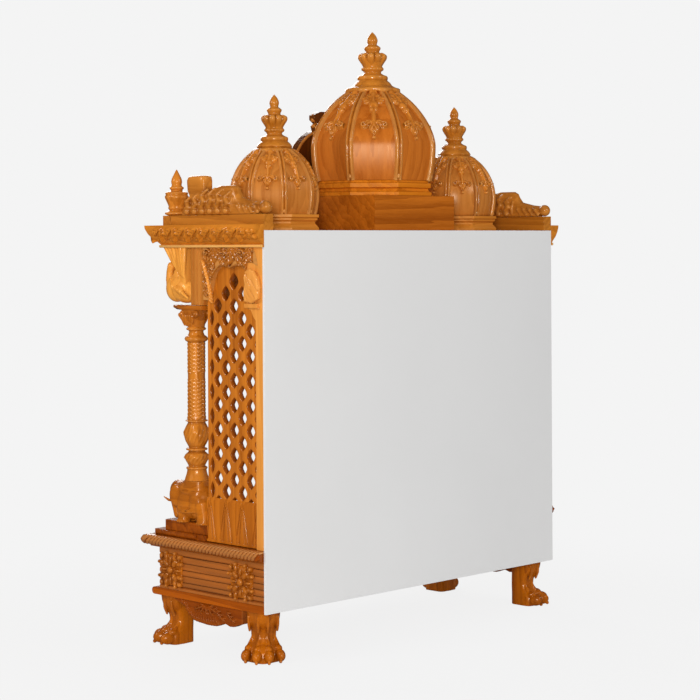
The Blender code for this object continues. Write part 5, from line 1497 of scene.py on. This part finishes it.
def ribs(name, line, centre, turn, wide, thick, wood):
    """Double-edged ribs swept up the joints between the staves, each with a bead at its foot."""
    bm = bmesh.new()
    section = [(-1.0, -0.8), (-1.0, 0.25), (-0.80, 0.82), (-0.50, 1.0), (-0.22, 0.78), (0.0, 0.40),
               (0.22, 0.78), (0.50, 1.0), (0.80, 0.82), (1.0, 0.25), (1.0, -0.8)]
    for k in range(8):
        angle = turn + math.pi / 4 * k
        ray = Vector((math.cos(angle), math.sin(angle), 0))
        aside = Vector((-ray.y, ray.x, 0))
        rings = []
        for j, (radius, level) in enumerate(line):
            r0, l0 = line[max(j - 1, 0)]
            r1, l1 = line[min(j + 1, len(line) - 1)]
            run = Vector((r1 - r0, l1 - l0)).normalized()
            out = ray * run.y + Vector((0, 0, -run.x))
            middle = Vector(centre) + ray * (radius - thick * 0.15) + Vector((0, 0, level))
            rings.append([bm.verts.new(middle + aside * a * wide + out * b * thick) for a, b in section])
        join_rings(bm, rings)
        foot = Vector(centre) + ray * (line[0][0] + thick * 0.7) + Vector((0, 0, thick * 1.5))
        lump(bm, foot, (thick * 0.9, thick * 0.9, thick * 1.1), steps=6)
    bmesh.ops.recalc_face_normals(bm, faces=bm.faces)
    return new_piece(name, bm, wood, smooth=50)


def dome_parts(node):
    """A dome's centre at its foot, and its height, read from its solid."""
    low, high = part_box(node)
    return Vector(((low.x + high.x) / 2, (low.y + high.y) / 2, low.z)), high.z - low.z


def pendant(u, v, size):
    """A carved pendant: bead, spread leaves, vase, stem, and two curled scrolls over a pointed drop."""
    tall = np.zeros(u.shape)
    for level, radius, high in ((0.1125, 0.0084, 0.0050), (0.1045, 0.0058, 0.0040), (0.0760, 0.0098, 0.0055),
                                (-0.0030, 0.0044, 0.0040)):
        tall = np.maximum(tall, bead(u, v, (0, level * size), radius * size, high))
    for root, tip, wide, high, ribs, bow in ( (0.0860, (0.0235, 0.0985), 0.0086, 0.0048, 3, -0.12),
                                             (0.0900, (0.0115, 0.1060), 0.0064, 0.0046, 2, -0.1),
                                             (0.0360, (0.0180, 0.0215), 0.0066, 0.0048, 0, 0.22),
                                             (0.0290, (0.0085, 0.0130), 0.0054, 0.0044, 0, 0.1),
                                             (0.0720, (0, 0.0560), 0.0088, 0.0056, 0, 0.0),
                                             (0.0270, (0, 0.0020), 0.0084, 0.0058, 2, 0.0)):
        for hand in (-1, 1):
            tall = np.maximum(tall, petal(u, v, (0, root * size), (hand * tip[0] * size, tip[1] * size),
                                          wide * size, high, ribs, bow * hand))
    for hand in (-1, 1):
        tall = np.maximum(tall, curl(u, v, (hand * 0.0190 * size, 0.0270 * size), 0.0088 * size, 0.0054, 0,
                                     hand))
    stem = np.clip(1 - (np.abs(u) / (0.0054 * size)) ** 2, 0, 1) * (v > 0.024 * size) * (v < 0.105 * size)
    tall = np.maximum(tall, 0.0044 * stem)
    return tall


def pendants(name, line, centre, turn, size, top, wood):
    """One pendant on each stave, laid on its bend and hung from the brim."""
    levels = [level for _, level in line]
    radii = [radius for radius, _ in line]
    us, vs, u, v = grid(-0.030 * size, 0.030 * size, -0.008 * size, 0.120 * size, 0.00140)
    tall = pendant(u * 0.86, v, size)
    bm = bmesh.new()
    for k in range(8):
        angle = turn + math.pi / 4 * k + math.pi / 8
        ray = Vector((math.cos(angle), math.sin(angle), 0))
        aside = Vector((-ray.y, ray.x, 0))

        def on_stave(a, b, h):
            level = top - (0.120 * size - b) * 0.93
            flat = float(np.interp(level, levels, radii)) * math.cos(EIGHTH)
            near = float(np.interp(level + 0.004, levels, radii)) * math.cos(EIGHTH)
            tip = Vector((near - flat, 0.004)).normalized()
            out = ray * tip.y + Vector((0, 0, -tip.x))
            return Vector(centre) + ray * flat + aside * a + out * h * 1.5 + Vector((0, 0, level))

        sheet(bm, us, vs, tall, on_stave)
    return new_piece(name, bm, wood, smooth=180)


pendant_wood = teak("pendant_teak", (0.712, 0.236, 0.0242), (0.415, 0.114, 0.0075), "Z", depth=0.8, edge_highlight=0.4,
                    reach=0.005, coat=0.7)
centre, dome_height = dome_parts("centre_dome")
line = dome_line(0.165, dome_height, widest=0.089, top_radius=0.052, count=34, full=1.6)
show(staves("centre_staves", line, centre, EIGHTH, stave_wood), "centre_dome")
show(ribs("centre_ribs", line, centre, EIGHTH, wide=0.0098, thick=0.0062, wood=rib_wood))
show(pendants("centre_pendants", line, centre, EIGHTH, size=1.12, top=dome_height - 0.002,
              wood=pendant_wood))
side_centre, side_height = dome_parts("side_dome_right")
side_turn = EIGHTH - 0.148
side_line = dome_line(0.108, side_height, widest=0.050, top_radius=0.045, count=26, full=1.9)
show_pair(staves("side_staves_right", side_line, side_centre, side_turn, side_stave_wood), "side_dome_right")
show_pair(ribs("side_ribs_right", side_line, side_centre, side_turn, wide=0.0076, thick=0.0050,
               wood=rib_wood))
show_pair(pendants("side_pendants_right", side_line, side_centre, side_turn, size=0.82,
                   top=side_height - 0.002, wood=pendant_wood))

# Finials
# Turned finials with a scalloped leafy brim, a stepped neck, a lotus bowl with carved petals and a bud.
bud_wood = teak("finial_teak", (0.650, 0.224, 0.0226), (0.363, 0.107, 0.0063), "Z", depth=0.8, edge_highlight=0.30,
                reach=0.006, coat=0.6)


def turned_finial(name, node, scale, brim, turn, wood):
    """A finial: its brim droops in eight leaf tips, and its bowl is cut into ten petals."""
    low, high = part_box(node)
    height = high.z - low.z

    def carve(angle, level, radius):
        share = level / height
        grow = 1.0
        lift = 0.0
        if share < 0.075:
            wave = abs(math.cos(4 * (angle - turn)))
            lift = -0.0045 * scale * wave ** 3 * min(1.0, max(0.0, 1 - share / 0.050))
            grow += 0.070 * wave ** 2 - 0.035
        elif 0.42 < share < 0.63:
            rise = math.sin(math.pi * min(1.0, (share - 0.42) / 0.19) * 0.62)
            leafy = abs(math.cos(5 * angle))
            grow += 0.170 * rise * (leafy ** 0.40 - 0.62)
            if share > 0.575:
                lift = 0.0030 * scale * (leafy - 0.5)
        elif 0.34 < share < 0.40:
            grow += 0.035 * math.cos(20 * angle)
        return grow, lift

    shares = [(0.0560, -0.040), (0.0690, -0.036), (0.0704, -0.004), (0.0690, 0.026), (0.0560, 0.046),
              (0.0510, 0.072), (0.0474, 0.110), (0.0440, 0.135), (0.0380, 0.165), (0.0392, 0.180),
              (0.0398, 0.215), (0.0380, 0.240), (0.0290, 0.262), (0.0232, 0.285), (0.0218, 0.305),
              (0.0236, 0.325), (0.0282, 0.350), (0.0280, 0.375), (0.0246, 0.400), (0.0262, 0.430),
              (0.0305, 0.480), (0.0348, 0.530), (0.0362, 0.570), (0.0345, 0.600), (0.0290, 0.622),
              (0.0190, 0.640), (0.0176, 0.660), (0.0196, 0.690), (0.0216, 0.712), (0.0212, 0.735),
              (0.0160, 0.760), (0.0116, 0.778), (0.0122, 0.805), (0.0140, 0.845), (0.0128, 0.890),
              (0.0085, 0.945), (0.0030, 0.985), (0.0006, 1.0)]
    profile = [(radius * scale * (brim if share < 0.06 else 1), height * share) for radius, share in shares]
    bm = bmesh.new()
    middle = ((low.x + high.x) / 2, (low.y + high.y) / 2, low.z)
    lathe(bm, drawn(rounded(profile), 0.0024), middle, 60, carve)
    return new_piece(name, bm, wood, smooth=60)


show(turned_finial("centre_lotus_finial", "centre_finial", scale=1.0, brim=1.03, turn=EIGHTH, wood=bud_wood),
     "centre_finial")
show_pair(turned_finial("side_lotus_finial_right", "side_finial_right", scale=0.86, brim=0.86,
                        turn=side_turn, wood=bud_wood), "side_finial_right")

# Crest
# An arched board on the front fascia. Its face is carved with a fan of leaves under a beaded edge, and a
# pot with leaves stands on its top. Its back is plain. The whole board is coloured near-black as painted
# shade, for the back that faces away from the light.
# Painted shade: the board is coloured near-black because its back faces away from the light.
crest_shade_wood = teak("crest_shade_teak", (0.150, 0.036, 0.0023), (0.075, 0.016, 0.0018), "Z", edge=0.0015)
crest_leaf_wood = teak("crest_leaf_teak", (0.549, 0.173, 0.0126), (0.299, 0.076, 0.0038), "Z", depth=0.9,
                       edge_highlight=0.3, reach=0.008)
paint_nodes(crest_shade_wood, "crest_board")
low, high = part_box("crest_board")
crest_radius = high.x
crest_face = low.y
crest_rear = high.y
spring = low.z + 0.232 - crest_radius
bm = bmesh.new()
for face, out in ((crest_face, -1), (crest_rear, 1)):
    path = [(crest_radius - 0.0045, face + out * 0.0005, low.z + 0.004)]
    path += [((crest_radius - 0.0045) * math.cos(math.pi * k / 28), face + out * 0.0005,
              spring + (crest_radius - 0.0045) * math.sin(math.pi * k / 28)) for k in range(29)]
    path += [(-crest_radius + 0.0045, face + out * 0.0005, low.z + 0.004)]
    bent_bar(bm, path, [0.0040] * len(path), 10)
bmesh.ops.recalc_face_normals(bm, faces=bm.faces)
show(new_piece("crest_edge", bm, crest_leaf_wood, smooth=50))
us, vs, u, v = grid(-crest_radius + 0.006, crest_radius - 0.006, 0.004, 0.226, 0.0015)
heart = (0.0, 0.062)
tall = np.zeros(u.shape)
for k in range(11):
    angle = math.pi * k / 10
    far = 0.090 + 0.030 * math.sin(angle)
    tip = (heart[0] + far * math.cos(angle), heart[1] + (far + 0.018 * math.sin(angle)) * math.sin(angle))
    tall = np.maximum(tall, petal(u, v, heart, tip, 0.0150, 0.0060, 6, 0.04 * math.cos(angle)))
    tall = np.maximum(tall, curl(u, v, (tip[0] * 0.93, heart[1] + (tip[1] - heart[1]) * 0.97), 0.0090,
                                 0.0062, k))
for k in range(5):
    a = -0.080 + 0.040 * k
    tall = np.maximum(tall, petal(u, v, (a, 0.006), (a + 0.012, 0.050), 0.0120, 0.0058, 4, 0.12))
tall = np.maximum(tall, bead(u, v, heart, 0.022, 0.0095))
bound = np.where(v > 0.116, np.hypot(u, v - 0.116), np.abs(u))
tall = tall * (bound < crest_radius - 0.0100)
show(carved_face("crest_leaves", us, vs, tall, lambda a, b, h: (a, crest_face - h, low.z + b),
                 crest_leaf_wood))
bm = bmesh.new()
pot = Vector((0, (crest_face + crest_rear) / 2, low.z + 0.232))
lump(bm, pot + Vector((0, 0, 0.012)), (0.027, 0.011, 0.013), steps=12)
lump(bm, pot + Vector((0, 0, 0.0005)), (0.021, 0.011, 0.007), steps=10)
for k in range(-3, 4):
    lean = k * 0.0088
    limb(bm, [pot + Vector((lean * 0.45, 0, 0.018)), pot + Vector((lean * 0.9, 0, 0.032)),
              pot + Vector((lean * 1.15, 0, 0.041 - 0.0018 * abs(k)))], (0.0062, 0.0064, 0.0042), 9)
for hand in (-1, 1):
    lump(bm, pot + Vector((hand * 0.029, 0, 0.024)), (0.0068, 0.0085, 0.0068), steps=8)
    lump(bm, pot + Vector((hand * 0.027, 0, 0.008)), (0.0060, 0.0080, 0.0060), steps=8)
show(one_skin("crest_pot", bm, crest_leaf_wood, cut=0.0014, rub=1))
